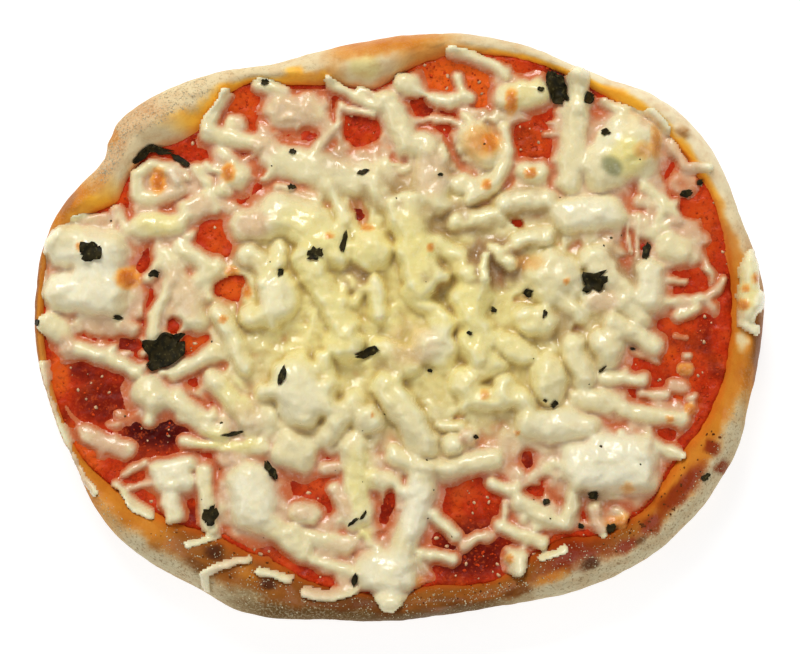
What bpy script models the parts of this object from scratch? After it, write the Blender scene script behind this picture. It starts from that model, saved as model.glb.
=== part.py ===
"""A small oval margherita pizza: risen dough, tomato sauce, melted cheese pieces and basil.

Axes: +X along the longer side, +Y along the shorter side, +Z up.  The origin is the middle of
the flat underside.  Lengths in the tables are millimetres and directions are degrees, turning
from +X towards +Y; meshes are built in metres.
"""

import math

import bmesh
import bpy
from mathutils import Matrix, Vector
from mathutils.bvhtree import BVHTree

MM = 0.001
GAP = 0.3  # clear space between touching pieces

# Dough: an oval with swells, and a dish pressed into it that leaves the rim.
# A swell is (direction, height, spread).
HALF_LENGTH = 62.5
HALF_WIDTH = 50.5
SQUARENESS = 2.3  # 2 is an ellipse, more is boxier
OUTLINE_SWELLS = (
    (12, -1.4, 9), (35, 1.3, 9), (57, -1.3, 8), (113, -3.4, 13), (151, -3.0, 5), (196, -2.7, 10),
    (240, 2.2, 20), (288, -1.3, 12), (348, -0.8, 7),
)
RIM_WIDTH = 4.2
RIM_SWELLS = (
    (57, -2.6, 9), (96, 4.3, 13), (138, 6.2, 11), (158, 2.4, 7), (188, -3.4, 20), (232, 4.4, 17),
    (306, 5.6, 10), (336, 5.6, 10),
)
NARROWEST_RIM = 1.2
DISH_HEIGHT = 6.8
RIM_HEIGHT = 13.0
RIM_HEIGHT_SWELLS = ((8, -2.2, 15), (138, 1.6, 20), (188, -2.6, 22), (232, 0.8, 25), (320, 1.0, 25))
DIRECTIONS = 54
# Profile from the underside's middle round the rim to the dish's middle: (reach, height), where
# reach 0 to 1 runs to the dish's edge and 1 to 2 crosses the rim; height 0 to 1 to the rim's top.
# A height over FIXED is not a share: it is that height in millimetres, with FIXED added.
FIXED = 2.0
UNDERSIDE = ((0.5, 0.0), (1.0, 0.0), (1.62, 0.0))
RIM_SECTION = ((1.88, 0.10), (2.0, 0.36), (1.97, 0.62), (1.80, 0.86), (1.52, 1.0), (1.24, 0.95), (1.04, 0.76))
DISH_REACHES = (0.97, 0.80, 0.50, 0.25)

# Sauce: a pool in the dish with a rounded edge.
SAUCE_DEPTH = 2.2
SAUCE_REACHES = (0.945, 0.925, 0.70, 0.35)
SAUCE_TOP = DISH_HEIGHT + GAP + SAUCE_DEPTH

# Cheese pieces: strokes of melted cheese lying on the sauce, each (from x, y, to x, y, width).
# Before the strokes comes how far the piece stands above its floor.
ON_SAUCE = SAUCE_TOP + GAP
CHEESE = {
    "cheese_lump_left": (
        4.6, ((-56.4, 13.6, -50.5, 12.5, 8.6), (-57.0, 6.0, -49.5, 5.0, 8.0), (-52.0, 12.0, -50.5, 6.0, 9.0)),
    ),
    "cheese_block_left": (3.4, ((-43.4, 17.4, -38.6, 17.7, 5.0),)),
    "cheese_ring_left": (
        2.6, (
            (-44.5, 22.8, -44.2, 26.0, 3.0), (-44.2, 26.3, -39.5, 27.0, 2.6),
            (-38.6, 27.0, -38.2, 23.2, 3.0), (-39.0, 22.6, -44.0, 22.4, 2.6),
        ),
    ),
    "cheese_wedge_lower_left": (3.4, ((-40.6, -25.0, -36.6, -24.8, 4.6), (-39.2, -26.0, -38.8, -32.0, 4.4))),
    "cheese_shred_lower_left": (3.0, ((-33.3, -25.6, -32.8, -33.0, 3.4),)),
    "cheese_lump_lower_left": (4.4, ((-25.2, -26.8, -24.8, -31.5, 8.8), (-22.6, -33.6, -18.0, -36.6, 4.2))),
    "cheese_shred_far_left": (1.8, ((-46.6, -24.8, -44.0, -23.6, 1.8),)),
    "cheese_drop_bottom": (3.8, ((-3.6, -40.6, -1.8, -41.2, 7.0),)),
    "cheese_trunk_bottom": (3.8, ((3.8, -25.5, 0.8, -36.2, 5.6), (5.4, -32.2, 8.6, -35.4, 2.8))),
    "cheese_cube_bottom": (3.4, ((19.2, -39.2, 21.0, -38.2, 3.6),)),
    "cheese_block_bottom": (2.8, ((16.2, -27.2, 18.8, -27.9, 3.0),)),
    "cheese_capsule_upper": (3.0, ((20.8, -30.0, 25.8, -33.0, 3.8),)),
    "cheese_capsule_lower": (2.6, ((17.4, -34.2, 23.6, -36.2, 3.0),)),
    "cheese_strand_bottom": (3.0, ((29.8, -27.6, 28.6, -32.0, 3.6),)),
    "cheese_disc_bottom": (1.6, ((34.6, -31.8, 36.0, -31.4, 4.8),)),
    "cheese_lump_lower_right": (4.6, ((31.5, -23.6, 39.5, -23.6, 10.0), (36.0, -20.6, 41.0, -20.6, 5.0))),
    "cheese_lump_right": (4.2, ((43.0, 4.8, 43.0, 9.2, 5.6),)),
    "cheese_lump_upper_right": (4.6, ((35.0, 27.8, 38.6, 31.8, 10.4), (40.6, 27.6, 41.0, 31.0, 6.0))),
    "cheese_strand_upper_right": (3.4, ((30.4, 40.0, 29.8, 35.6, 4.2),)),
    "cheese_block_top": (3.6, ((18.6, 38.8, 22.8, 39.8, 5.4),)),
    "cheese_lump_top": (4.0, ((13.0, 32.6, 14.4, 30.2, 7.2),)),
    "cheese_shred_top": (2.8, ((6.4, 38.6, 11.0, 39.2, 2.8), (10.6, 39.8, 10.0, 41.6, 2.4))),
    "cheese_shred_top_edge": (2.6, ((9.8, 44.6, 15.6, 43.0, 2.6),)),
    "cheese_block_top_middle": (3.0, ((0.2, 41.2, 1.8, 40.4, 3.4),)),
    "cheese_strand_top": (3.6, ((-2.0, 36.4, 0.6, 31.6, 4.2), (1.0, 31.2, 3.6, 31.4, 3.4))),
    "cheese_flat_top_left": (2.8, ((-19.8, 36.6, -15.6, 36.8, 4.8),)),
    "cheese_strand_top_left": (2.8, ((-31.8, 33.0, -25.0, 31.2, 3.2),)),
}
# The film that the other strands melted into.
SPREAD_HEIGHT = 4.2
MELTED_SPREAD = (
    (-42.0, 12.0, -36.0, 2.0, 4.6), (-35.0, 10.0, -24.0, 20.0, 6.0), (-32.0, 26.5, -27.0, 25.0, 5.0),
    (-30.0, 20.0, -22.0, 17.0, 7.0), (-22.0, 27.0, -4.0, 24.0, 7.0), (-21.0, 20.0, -11.0, 14.0, 7.5),
    (-4.0, 25.0, -1.0, 19.0, 5.0), (5.5, 29.0, 5.5, 22.0, 6.6), (1.0, 19.0, 4.0, 8.0, 7.0),
    (-21.0, 9.0, -20.5, 1.5, 7.0), (-26.5, 2.0, -22.0, 1.0, 4.4), (-31.0, 1.5, -26.5, -7.0, 4.0),
    (-31.5, -9.5, -26.0, -16.5, 4.6), (-36.5, 1.0, -42.0, -1.5, 3.6), (-41.0, -11.0, -34.0, -7.0, 3.8),
    (-37.0, -13.0, -31.5, -18.0, 4.4), (-36.5, -19.2, -24.0, -20.6, 3.6), (-16.0, 12.0, -9.0, 0.0, 5.4),
    (-20.0, -8.0, -14.0, -13.5, 9.0), (-22.0, -14.0, -17.0, -22.5, 7.0), (-9.5, -3.0, -8.0, -8.0, 6.0),
    (-5.0, 13.0, -2.5, 3.0, 5.0), (-6.0, -12.0, -5.5, -17.0, 5.6), (-2.0, -9.0, 4.0, -20.0, 6.0),
    (-8.0, -19.0, -6.5, -31.0, 5.0), (2.0, 5.0, 8.0, -2.0, 6.0), (12.0, 8.0, 13.0, -4.0, 6.4),
    (9.0, 22.5, 15.0, 17.5, 5.0), (19.0, 14.0, 25.0, 15.5, 3.6), (16.0, 4.0, 26.5, 8.0, 7.6),
    (20.0, 1.0, 26.0, 0.5, 6.4), (25.0, -5.0, 26.0, -12.0, 7.4), (20.5, -17.0, 32.0, -17.0, 4.0),
    (13.0, -6.0, 9.0, -14.0, 6.0), (10.5, -13.0, 18.0, -12.0, 5.0), (9.0, -19.6, 14.5, -21.6, 4.6),
    (27.5, 19.5, 37.0, 19.5, 6.6), (18.5, 21.0, 25.0, 22.5, 4.2), (33.0, 12.0, 41.0, -1.0, 5.2),
    (35.5, -3.5, 43.0, -4.0, 4.4), (35.0, -8.6, 41.0, -9.2, 3.2), (38.0, -14.0, 47.0, -15.4, 3.8),
    (26.5, -10.0, 36.0, -7.0, 5.4), (24.5, 8.5, 34.0, 4.5, 7.2), (38.0, 17.5, 49.5, 13.0, 5.0),
    (-37.0, 22.6, -33.0, 19.0, 4.0),
)
# A flap that hangs over the rim on the right, and a rope of cheese run over the lower left rim.
RIM_FLAP = (3.0, ((58.8, 2.6, 59.4, 10.4, 4.8), (61.2, 4.0, 61.4, 4.6, 3.6)))
RIM_ROPE = (1.8, ((-56.0, -20.4, -52.2, -25.8, 2.4),))
RIM_FLOOR = RIM_HEIGHT + GAP - 2.0  # the flap and the rope start a little inside the rim

# Basil: dried leaf pieces lying on the cheese and sauce: (x, y, length, width, turn, height).
BASIL = {
    "basil_left": (-45.6, -4.6, 5.6, 4.2, 30.0, ON_SAUCE),
    "basil_top": (26.2, 41.6, 4.6, 2.6, -65.0, ON_SAUCE),
}
LEAF_THICKNESS = 0.5

# How finely the cheese is fused, and the share of its triangles that is kept.
MELT_VOXEL = 1.15
MELT_KEEP = 0.13
LUMP_VOXEL = 0.9
LUMP_KEEP = 0.18
ROOM_GROWTH = GAP + 0.25  # room round a lump, with a margin for the thinned triangles

DOUGH = ("crust", (0.70, 0.47, 0.24), 0.75)
SAUCE = ("sauce", (0.52, 0.07, 0.02), 0.25)
CREAM = ("cheese", (0.90, 0.74, 0.48), 0.35)
LEAF = ("basil", (0.06, 0.07, 0.02), 0.70)


def swelling(direction, swells):
    """The sum of the smooth swells at a direction, in millimetres."""
    total = 0.0
    for centre, height, spread in swells:
        away = (direction - centre + 180.0) % 360.0 - 180.0
        total += height * math.exp(-((away / spread) ** 2))
    return total


def outline(direction):
    """How far the dough reaches at a direction."""
    along = abs(math.cos(math.radians(direction))) / HALF_LENGTH
    across = abs(math.sin(math.radians(direction))) / HALF_WIDTH
    oval = (along**SQUARENESS + across**SQUARENESS) ** (-1.0 / SQUARENESS)
    return oval + swelling(direction, OUTLINE_SWELLS)


def rim_width(direction):
    """How wide the rim is at a direction."""
    return max(NARROWEST_RIM, RIM_WIDTH + swelling(direction, RIM_SWELLS))


def rim_height(direction):
    """How high the rim stands at a direction."""
    return RIM_HEIGHT + swelling(direction, RIM_HEIGHT_SWELLS)


def spot(direction, reach, height):
    """A point of the dough: reach 1 is the dish's edge and 2 the outline."""
    edge = outline(direction) - rim_width(direction)
    distance = edge * reach if reach <= 1.0 else edge + (reach - 1.0) * rim_width(direction)
    turn = math.radians(direction)
    return Vector((distance * math.cos(turn), distance * math.sin(turn), height)) * MM


def collection(name):
    """A new collection of the scene."""
    made = bpy.data.collections.new(name)
    bpy.context.scene.collection.children.link(made)
    return made


def material(finish):
    """A plain material from a name, a colour and a roughness."""
    name, colour, roughness = finish
    made = bpy.data.materials.get(name) or bpy.data.materials.new(name)
    made.use_nodes = True
    shader = made.node_tree.nodes["Principled BSDF"]
    shader.inputs["Base Color"].default_value = (*colour, 1.0)
    shader.inputs["Roughness"].default_value = roughness
    return made


def keep(mesh_edit, name, finish, group):
    """Turn an edited mesh into a named object of a collection."""
    bmesh.ops.recalc_face_normals(mesh_edit, faces=mesh_edit.faces)
    mesh = bpy.data.meshes.new(name)
    mesh_edit.to_mesh(mesh)
    mesh_edit.free()
    mesh.materials.append(material(finish))
    mesh.shade_smooth()
    made = bpy.data.objects.new(name, mesh)
    group.objects.link(made)
    return made


def turned(profile, place):
    """A closed body from a profile turned about +Z, each ring then moved to its true place."""
    edit = bmesh.new()
    points = [edit.verts.new((reach, 0.0, height)) for reach, height in profile]
    edges = [edit.edges.new(pair) for pair in zip(points, points[1:])]
    bmesh.ops.spin(
        edit, geom=points + edges, cent=(0, 0, 0), axis=(0, 0, 1), angle=math.tau,
        steps=DIRECTIONS, use_merge=True, dvec=(0, 0, 0),
    )
    bmesh.ops.remove_doubles(edit, verts=edit.verts, dist=1e-6)
    for vert in edit.verts:
        reach = math.hypot(vert.co.x, vert.co.y)
        direction = math.degrees(math.atan2(vert.co.y, vert.co.x))
        vert.co = place(direction, reach, vert.co.z)
    return edit


def dough_place(direction, reach, height):
    """Move a profile's point: a share of the rim's height, or a fixed height."""
    if height >= FIXED:
        return spot(direction, reach, height - FIXED)
    return spot(direction, reach, height * rim_height(direction))


def make_dough(group):
    """The dough with its rim and its pressed dish."""
    floor = DISH_HEIGHT + FIXED
    profile = [(0.0, 0.0)]
    profile += UNDERSIDE
    profile += RIM_SECTION
    profile += [(reach, floor) for reach in DISH_REACHES]
    profile += [(0.0, floor)]
    return keep(turned(profile, dough_place), "dough_base", DOUGH, group)


def make_sauce(group):
    """The pool of sauce with a rounded edge."""
    low = DISH_HEIGHT + GAP
    half = low + SAUCE_DEPTH * 0.5
    profile = [(0.0, low)]
    profile += [(reach, low) for reach in reversed(SAUCE_REACHES[1:])]
    profile += [(SAUCE_REACHES[0], half)]
    profile += [(reach, SAUCE_TOP) for reach in SAUCE_REACHES[1:]]
    profile += [(0.0, SAUCE_TOP)]
    return keep(turned(profile, spot), "tomato_sauce", SAUCE, group)


def add_stroke(edit, stroke, top, floor, grow):
    """Add a rounded stroke: a ball drawn out from one point to another, half sunk at its floor."""
    start = Vector((stroke[0], stroke[1], 0.0))
    end = Vector((stroke[2], stroke[3], 0.0))
    radius = stroke[4] * 0.5 + grow
    half = (end - start).length * 0.5
    turn = math.atan2(end.y - start.y, end.x - start.x)
    ball = bmesh.ops.create_icosphere(edit, subdivisions=3, radius=1.0)["verts"]
    for vert in ball:
        drawn = vert.co.x * radius + math.copysign(half, vert.co.x)
        vert.co = Vector((drawn, vert.co.y * radius, vert.co.z * (top + grow)))
    bmesh.ops.rotate(edit, verts=ball, cent=(0, 0, 0), matrix=Matrix.Rotation(turn, 3, "Z"))
    middle = (start + end) * 0.5
    bmesh.ops.translate(edit, verts=ball, vec=(middle.x, middle.y, floor))


def apply_modifiers(made):
    """Replace an object's mesh by its evaluated one and clear its modifiers."""
    graph = bpy.context.evaluated_depsgraph_get()
    mesh = bpy.data.meshes.new_from_object(made.evaluated_get(graph))
    made.modifiers.clear()
    made.data = mesh


def melted(name, top, strokes, floor, voxel, share, group, grow=0.0):
    """Fuse strokes into one soft body, thinned to a share of its triangles."""
    edit = bmesh.new()
    for stroke in strokes:
        add_stroke(edit, stroke, top, floor, grow)
    bmesh.ops.scale(edit, vec=(MM, MM, MM), verts=edit.verts)
    made = keep(edit, name, CREAM, group)
    fuse = made.modifiers.new("fuse", "REMESH")
    fuse.mode = "VOXEL"
    fuse.voxel_size = voxel * MM
    thin = made.modifiers.new("thin", "DECIMATE")
    thin.ratio = share
    apply_modifiers(made)
    return made


def box(pieces):
    """The lowest and highest corners of the meshes of some objects."""
    corners = [vert.co for piece in pieces for vert in piece.data.vertices]
    low = Vector([min(corner[axis] for corner in corners) for axis in range(3)])
    high = Vector([max(corner[axis] for corner in corners) for axis in range(3)])
    return low, high


def surface(made):
    """A search tree of an object's faces."""
    corners = [vert.co for vert in made.data.vertices]
    return BVHTree.FromPolygons(corners, [tuple(face.vertices) for face in made.data.polygons])


def tidy(made):
    """Merge what a cut left, keep the largest body and split every face into triangles."""
    edit = bmesh.new()
    edit.from_mesh(made.data)
    bmesh.ops.remove_doubles(edit, verts=edit.verts, dist=0.03 * MM)
    bmesh.ops.dissolve_degenerate(edit, edges=edit.edges, dist=0.01 * MM)
    drop_small_bodies(edit)
    bmesh.ops.triangulate(edit, faces=edit.faces)
    edit.to_mesh(made.data)
    edit.free()


def cut(made, cutters):
    """Take out of an object each cutter that its surface meets."""
    for cutter in cutters:
        if not surface(made).overlap(surface(cutter)):
            continue
        away = made.modifiers.new("cut", "BOOLEAN")
        away.operation = "DIFFERENCE"
        away.solver = "EXACT"
        away.object = cutter
        apply_modifiers(made)
        tidy(made)


def drop_small_bodies(edit):
    """Delete every connected body except the one with the most corners."""
    waiting = set(edit.verts)
    bodies = []
    while waiting:
        reached = {waiting.pop()}
        front = list(reached)
        while front:
            vert = front.pop()
            near = {edge.other_vert(vert) for edge in vert.link_edges} - reached
            reached |= near
            front += near
        waiting -= reached
        bodies.append(reached)
    bodies.sort(key=len, reverse=True)
    for body in bodies[1:]:
        bmesh.ops.delete(edit, geom=list(body), context="VERTS")


def under_cheese(group):
    """A cutter: the dough and the sauce grown by the gap, which cheese may not reach into."""
    floor = ON_SAUCE + FIXED
    profile = [(0.0, -0.2), (2.0, -0.2)]
    profile += RIM_SECTION[1:]
    profile += [(0.93, floor), (0.5, floor), (0.0, floor)]

    def place(direction, reach, height):
        if height >= FIXED:
            return spot(direction, reach, height - FIXED)
        point = spot(direction, reach, height * rim_height(direction) + GAP)
        outward = Vector((point.x, point.y, 0.0)).normalized() * (reach - 1.4) * GAP * MM * 2.0
        return point + outward

    made = keep(turned(profile, place), "under_cheese", DOUGH, group)
    made.hide_render = True
    made.display_type = "WIRE"
    return made


def room(name, top, strokes, floor, group):
    """A cutter: a lump's strokes grown by the room round it."""
    made = melted(name + "_room", top, strokes, floor, LUMP_VOXEL, LUMP_KEEP, group, ROOM_GROWTH)
    made.hide_render = True
    made.display_type = "WIRE"
    return made


def make_leaf(name, leaf, group):
    """A dried leaf piece: a flat rounded plate, pointed at one end."""
    x, y, length, width, turn, floor = leaf
    edit = bmesh.new()
    ball = bmesh.ops.create_icosphere(edit, subdivisions=2, radius=0.5)["verts"]
    for vert in ball:
        taper = 1.0 - 0.9 * max(vert.co.x, 0.0)
        vert.co = Vector((vert.co.x * length, vert.co.y * width * taper, vert.co.z * LEAF_THICKNESS))
    spin = Matrix.Rotation(math.radians(turn), 3, "Z")
    bmesh.ops.rotate(edit, verts=ball, cent=(0, 0, 0), matrix=spin)
    bmesh.ops.translate(edit, verts=ball, vec=(x, y, floor + LEAF_THICKNESS * 0.5))
    bmesh.ops.scale(edit, vec=(MM, MM, MM), verts=edit.verts)
    return keep(edit, name, LEAF, group)


def centre(pieces):
    """Move every piece so that the whole box is centred on the origin, with its base at z = 0."""
    low, high = box(pieces)
    shift = Vector((-(low.x + high.x) * 0.5, -(low.y + high.y) * 0.5, -low.z))
    for piece in pieces:
        piece.data.transform(Matrix.Translation(shift))


def main():
    """Build the pizza and its cutters."""
    for old in list(bpy.data.objects):
        bpy.data.objects.remove(old, do_unlink=True)
    pizza = collection("margherita_pizza")
    cutters = collection("cutters")
    pieces = [make_dough(pizza), make_sauce(pizza)]
    under = under_cheese(cutters)
    lumps = []
    rooms = []
    work = [(name, *CHEESE[name], ON_SAUCE) for name in CHEESE]
    work += [("cheese_flap_right", *RIM_FLAP, RIM_FLOOR), ("cheese_rope_left", *RIM_ROPE, RIM_FLOOR)]
    for name, top, strokes, floor in work:
        lump = melted(name, top, strokes, floor, LUMP_VOXEL, LUMP_KEEP, pizza)
        cut(lump, [under, *rooms])
        lumps.append(lump)
        rooms.append(room(name, top, strokes, floor, cutters))
    spread = melted("melted_cheese", SPREAD_HEIGHT, MELTED_SPREAD, ON_SAUCE, MELT_VOXEL, MELT_KEEP, pizza)
    cut(spread, [under, *rooms])
    leaves = [make_leaf(name, leaf, pizza) for name, leaf in BASIL.items()]
    centre([*pieces, spread, *lumps, *leaves])


main()
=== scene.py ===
"""Looks of a small oval margherita pizza: crust, sauce, melted cheese and dried basil.

Lengths in this script are millimetres, measured from the middle of the pizza's underside with
+X along the longer side, +Y along the shorter side and +Z up.  Meshes are scaled to metres when
they are finished.  Directions are degrees, turning from +X towards +Y.
"""

import logging
import math
import random
from dataclasses import dataclass
from enum import Enum
from typing import Callable

import bmesh
import bpy
import numpy as np
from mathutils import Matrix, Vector, noise
from mathutils.bvhtree import BVHTree


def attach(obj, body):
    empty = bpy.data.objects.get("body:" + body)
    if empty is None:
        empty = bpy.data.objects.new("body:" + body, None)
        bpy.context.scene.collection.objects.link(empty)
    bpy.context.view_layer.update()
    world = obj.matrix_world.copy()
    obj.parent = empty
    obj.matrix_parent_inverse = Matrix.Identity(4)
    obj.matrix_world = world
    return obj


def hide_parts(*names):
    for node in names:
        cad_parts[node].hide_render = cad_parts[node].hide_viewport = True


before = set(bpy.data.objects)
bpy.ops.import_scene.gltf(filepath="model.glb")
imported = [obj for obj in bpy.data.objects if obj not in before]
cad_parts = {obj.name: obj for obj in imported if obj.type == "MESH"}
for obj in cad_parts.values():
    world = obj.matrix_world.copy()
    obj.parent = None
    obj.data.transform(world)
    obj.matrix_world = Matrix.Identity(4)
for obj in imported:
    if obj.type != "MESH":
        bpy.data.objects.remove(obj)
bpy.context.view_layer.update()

MM = 0.001
LOG = logging.getLogger("pizza")

# The crust's edge and the dish's edge, each as (direction, distance from the middle).
OUTLINE = (
    (0, 62.4), (4, 62.9), (9, 62.6), (14, 61.9), (20, 61.5), (26, 61.7), (32, 61.4), (38, 60.5),
    (44, 58.4), (50, 55.6), (56, 53.9), (64, 53.0), (74, 52.0), (84, 50.8), (94, 49.8),
    (102, 49.4), (108, 49.5), (114, 49.9), (120, 51.5), (126, 54.0), (132, 56.4), (138, 58.6),
    (144, 59.9), (148, 59.0), (151, 58.6), (156, 60.2), (162, 62.0), (168, 62.7), (174, 62.7),
    (180, 62.7), (186, 62.3), (192, 61.3), (198, 60.6), (204, 60.6), (210, 60.9), (216, 60.7),
    (222, 59.4), (228, 57.9), (234, 56.7), (240, 56.3), (246, 54.9), (252, 52.9), (258, 51.5),
    (270, 50.5), (279, 50.1), (288, 50.8), (297, 52.6), (306, 55.3), (315, 57.8), (324, 59.6),
    (332, 61.0), (340, 61.8), (347, 61.4), (354, 61.9),
)
DISH_EDGE = (
    (0, 56.5), (8, 57.0), (16, 57.4), (24, 57.6), (32, 56.6), (40, 54.9), (48, 52.7), (56, 51.6),
    (64, 50.4), (72, 48.8), (80, 47.0), (86, 44.8), (92, 42.0), (97, 40.9), (104, 42.4),
    (110, 43.8), (116, 45.8), (121, 48.6), (127, 49.2), (133, 48.0), (139, 48.6), (145, 51.9),
    (151, 52.9), (156, 52.7), (159, 55.2), (163, 59.0), (168, 61.2), (176, 60.8), (186, 60.6),
    (194, 59.8), (200, 59.2), (206, 57.2), (214, 53.8), (222, 50.4), (228, 47.4), (234, 46.6),
    (242, 45.4), (250, 46.0), (258, 46.0), (270, 45.4), (277, 44.4), (286, 45.6), (293, 46.2),
    (300, 45.2), (307, 45.2), (313, 48.6), (318, 50.6), (324, 52.2), (330, 52.2), (336, 52.6),
    (343, 54.6), (351, 55.8),
)
SAUCE_TOP = 9.3
DOUGH_FLOOR = 6.8
# The rim is never narrower than this, and where reach is read the outline counts as this much wider.
NARROWEST_RIM = 1.4
REACH_ALLOWANCE = 0.35
# The cheese's flat foot, how deep it sinks into what it lies on, and the place where it ran together.
CHEESE_FOOT = SAUCE_TOP - 1.6
CHEESE_SINK = 0.35
CHEESE_SKIRT_TOP = SAUCE_TOP - 1.0
MELTED_MIDDLE = (2.0, 3.0, 92.0, 62.0, 0.0)
# Cheese thicker than this is pressed down to a share of what stands over it.
TALL_CHEESE = 5.2
TALL_SHARE = 0.4


def linear(red: float, green: float, blue: float) -> tuple[float, float, float, float]:
    """Turn a screen colour, 0 to 255, into the linear colour a shader takes.

    Args:
        red: The screen's red.
        green: The screen's green.
        blue: The screen's blue.

    Returns:
        The linear colour with a full alpha.
    """
    parts = []
    for value in (red, green, blue):
        share = value / 255.0
        parts.append(share / 12.92 if share <= 0.04045 else ((share + 0.055) / 1.055) ** 2.4)
    return (*parts, 1.0)


def smooth_step(low: float, high: float, value: np.ndarray) -> np.ndarray:
    """Rise smoothly from 0 at low to 1 at high.

    Args:
        low: Where the rise starts.
        high: Where the rise ends.
        value: The values to place on the rise.

    Returns:
        The height of the rise at each value.
    """
    share = np.clip((value - low) / (high - low), 0.0, 1.0)
    return share * share * (3.0 - 2.0 * share)


def ring_value(points: tuple[tuple[float, float], ...], direction: np.ndarray) -> np.ndarray:
    """Read a closed smooth curve given by its distances at some directions.

    Args:
        points: Pairs of direction and distance, by rising direction.
        direction: The directions to read, in degrees.

    Returns:
        The distance at each direction.
    """
    angles = np.array([point[0] for point in points], float)
    values = np.array([point[1] for point in points], float)
    count = len(points)
    turned = np.mod(direction, 360.0)
    after = np.searchsorted(angles, turned, side="right") % count
    before = (after - 1) % count
    span = np.mod(angles[after] - angles[before], 360.0)
    share = np.mod(turned - angles[before], 360.0) / span
    p0, p1 = values[(before - 1) % count], values[before]
    p2, p3 = values[after], values[(after + 1) % count]
    curve = 2.0 * p1 + (p2 - p0) * share
    curve += (2.0 * p0 - 5.0 * p1 + 4.0 * p2 - p3) * share**2
    curve += (3.0 * p1 - p0 - 3.0 * p2 + p3) * share**3
    return 0.5 * curve


def grain(x: np.ndarray, y: np.ndarray, size: float, seed: float, octaves: int = 1) -> np.ndarray:
    """Smooth noise over the plane, about -1 to 1.

    Args:
        x: Places along X.
        y: Places along Y.
        size: The width of one swell, in millimetres.
        seed: Which noise is read.
        octaves: How many finer layers are added.

    Returns:
        The noise at each place.
    """
    flat = np.empty(x.size)
    for index, (px, py) in enumerate(zip(x.ravel() / size, y.ravel() / size)):
        spot = Vector((px, py, seed))
        if octaves == 1:
            flat[index] = noise.noise(spot)
        else:
            flat[index] = noise.fractal(spot, 1.0, 2.0, octaves)
    return flat.reshape(x.shape)


def blob(x: np.ndarray, y: np.ndarray, spot: tuple[float, ...]) -> np.ndarray:
    """How far inside an oval spot each place is: 1 at its middle, 0 at its edge, less outside.

    Args:
        x: Places along X.
        y: Places along Y.
        spot: The oval's middle x and y, its length and width, and its turn in degrees.

    Returns:
        One less the distance from the middle as a share of the oval.
    """
    middle_x, middle_y, length, width, turn = spot
    cosine, sine = math.cos(math.radians(turn)), math.sin(math.radians(turn))
    along = (x - middle_x) * cosine + (y - middle_y) * sine
    across = -(x - middle_x) * sine + (y - middle_y) * cosine
    return 1.0 - np.hypot(along / (length * 0.5), across / (width * 0.5))


class Dough:
    """The dough's form as functions of place, shared by the pieces that lie on it."""

    @classmethod
    def reach(cls, x: np.ndarray, y: np.ndarray) -> np.ndarray:
        """Where a place lies: 1 at the dish's edge and 2 just past the outline.

        Args:
            x: Places along X.
            y: Places along Y.

        Returns:
            The reach of each place.
        """
        direction = np.degrees(np.arctan2(y, x))
        distance = np.hypot(x, y)
        edge = ring_value(DISH_EDGE, direction)
        rim = np.maximum(ring_value(OUTLINE, direction) + REACH_ALLOWANCE - edge, NARROWEST_RIM)
        return np.where(distance < edge, distance / edge, 1.0 + (distance - edge) / rim)

    @staticmethod
    def over(x: np.ndarray, y: np.ndarray) -> np.ndarray:
        """How far each place lies beyond the dish's edge, in millimetres."""
        return np.hypot(x, y) - ring_value(DISH_EDGE, np.degrees(np.arctan2(y, x)))

    @staticmethod
    def rim_lift(width: np.ndarray) -> np.ndarray:
        """A narrow rim stands lower over the sauce than a wide one."""
        return 0.40 + 0.62 * smooth_step(1.5, 8.0, width)


class Tone(Enum):
    """Screen colours of the pizza's parts, 0 to 255."""

    SAUCE = (188, 48, 8)
    # Darker wet sauce, also painted shade in pits and in pockets between the cheese.
    SAUCE_DARK_AND_SHADED = (74, 6, 1)
    SAUCE_ORANGE = (224, 94, 22)
    SAUCE_PULP = (208, 84, 34)
    CREAM = (230, 218, 172)
    # Whiter cheese, also used as painted highlight on the crests.
    WHITE_AND_CREST_HIGHLIGHT = (240, 234, 204)
    YELLOW = (236, 222, 142)
    # Painted highlight on the cheese's crests.
    CREST_HIGHLIGHT_YELLOW = (240, 234, 186)
    # Cheese that lets the sauce through, also used as painted shade in hollows away from the middle.
    SEE_THROUGH_PINK_AND_SHADE = (214, 172, 136)
    THIN = (198, 96, 48)
    # The next two tones are painted shade for the cheese's hollows; the first is also the tone of thin film.
    THIN_FILM_AND_HOLLOW_SHADE = (200, 174, 98)
    DEEP_HOLLOW_SHADE = (150, 114, 56)
    # Darker half clear film, also painted shade in low places between lumps.
    FILM_AND_HOLLOW_SHADE = (158, 122, 80)
    TOAST = (244, 164, 62)
    TOAST_DEEP = (190, 92, 20)
    UNDER_LEAF = (120, 122, 84)
    DOUGH_TAN = (208, 170, 124)
    DOUGH_PALE = (222, 202, 158)
    DOUGH_GREEN = (238, 222, 182)
    DOUGH_FLOUR = (212, 198, 160)
    # Browned dough, also painted shade on the outer flank of the side towards -Y.
    DOUGH_GREY_AND_SHADE = (112, 82, 42)
    DOUGH_GOLD = (204, 128, 38)
    DOUGH_AMBER = (214, 148, 70)
    DOUGH_ORANGE = (255, 184, 54)
    DOUGH_BROWN = (146, 86, 28)
    DOUGH_DARK = (110, 62, 20)
    DOUGH_BURNT = (66, 30, 10)
    DRIED_SAUCE = (126, 36, 0)
    LEAF = (48, 40, 16)
    LEAF_DARK = (24, 22, 10)


def painted(count: int, tone: Tone) -> np.ndarray:
    """One screen colour for every place.

    Args:
        count: How many places there are.
        tone: The colour.

    Returns:
        The colours, one row for each place.
    """
    return np.tile(np.array(tone.value, float), (count, 1))


def paint(colours: np.ndarray, weight: np.ndarray, tone: Tone) -> None:
    """Lay a tone over colours.

    Args:
        colours: The colours to change, one row for each place.
        weight: How much of the tone each place takes, 0 to 1.
        tone: The tone laid on.
    """
    share = np.clip(weight, 0.0, 1.0)[:, None]
    colours += (np.array(tone.value, float) - colours) * share


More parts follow.
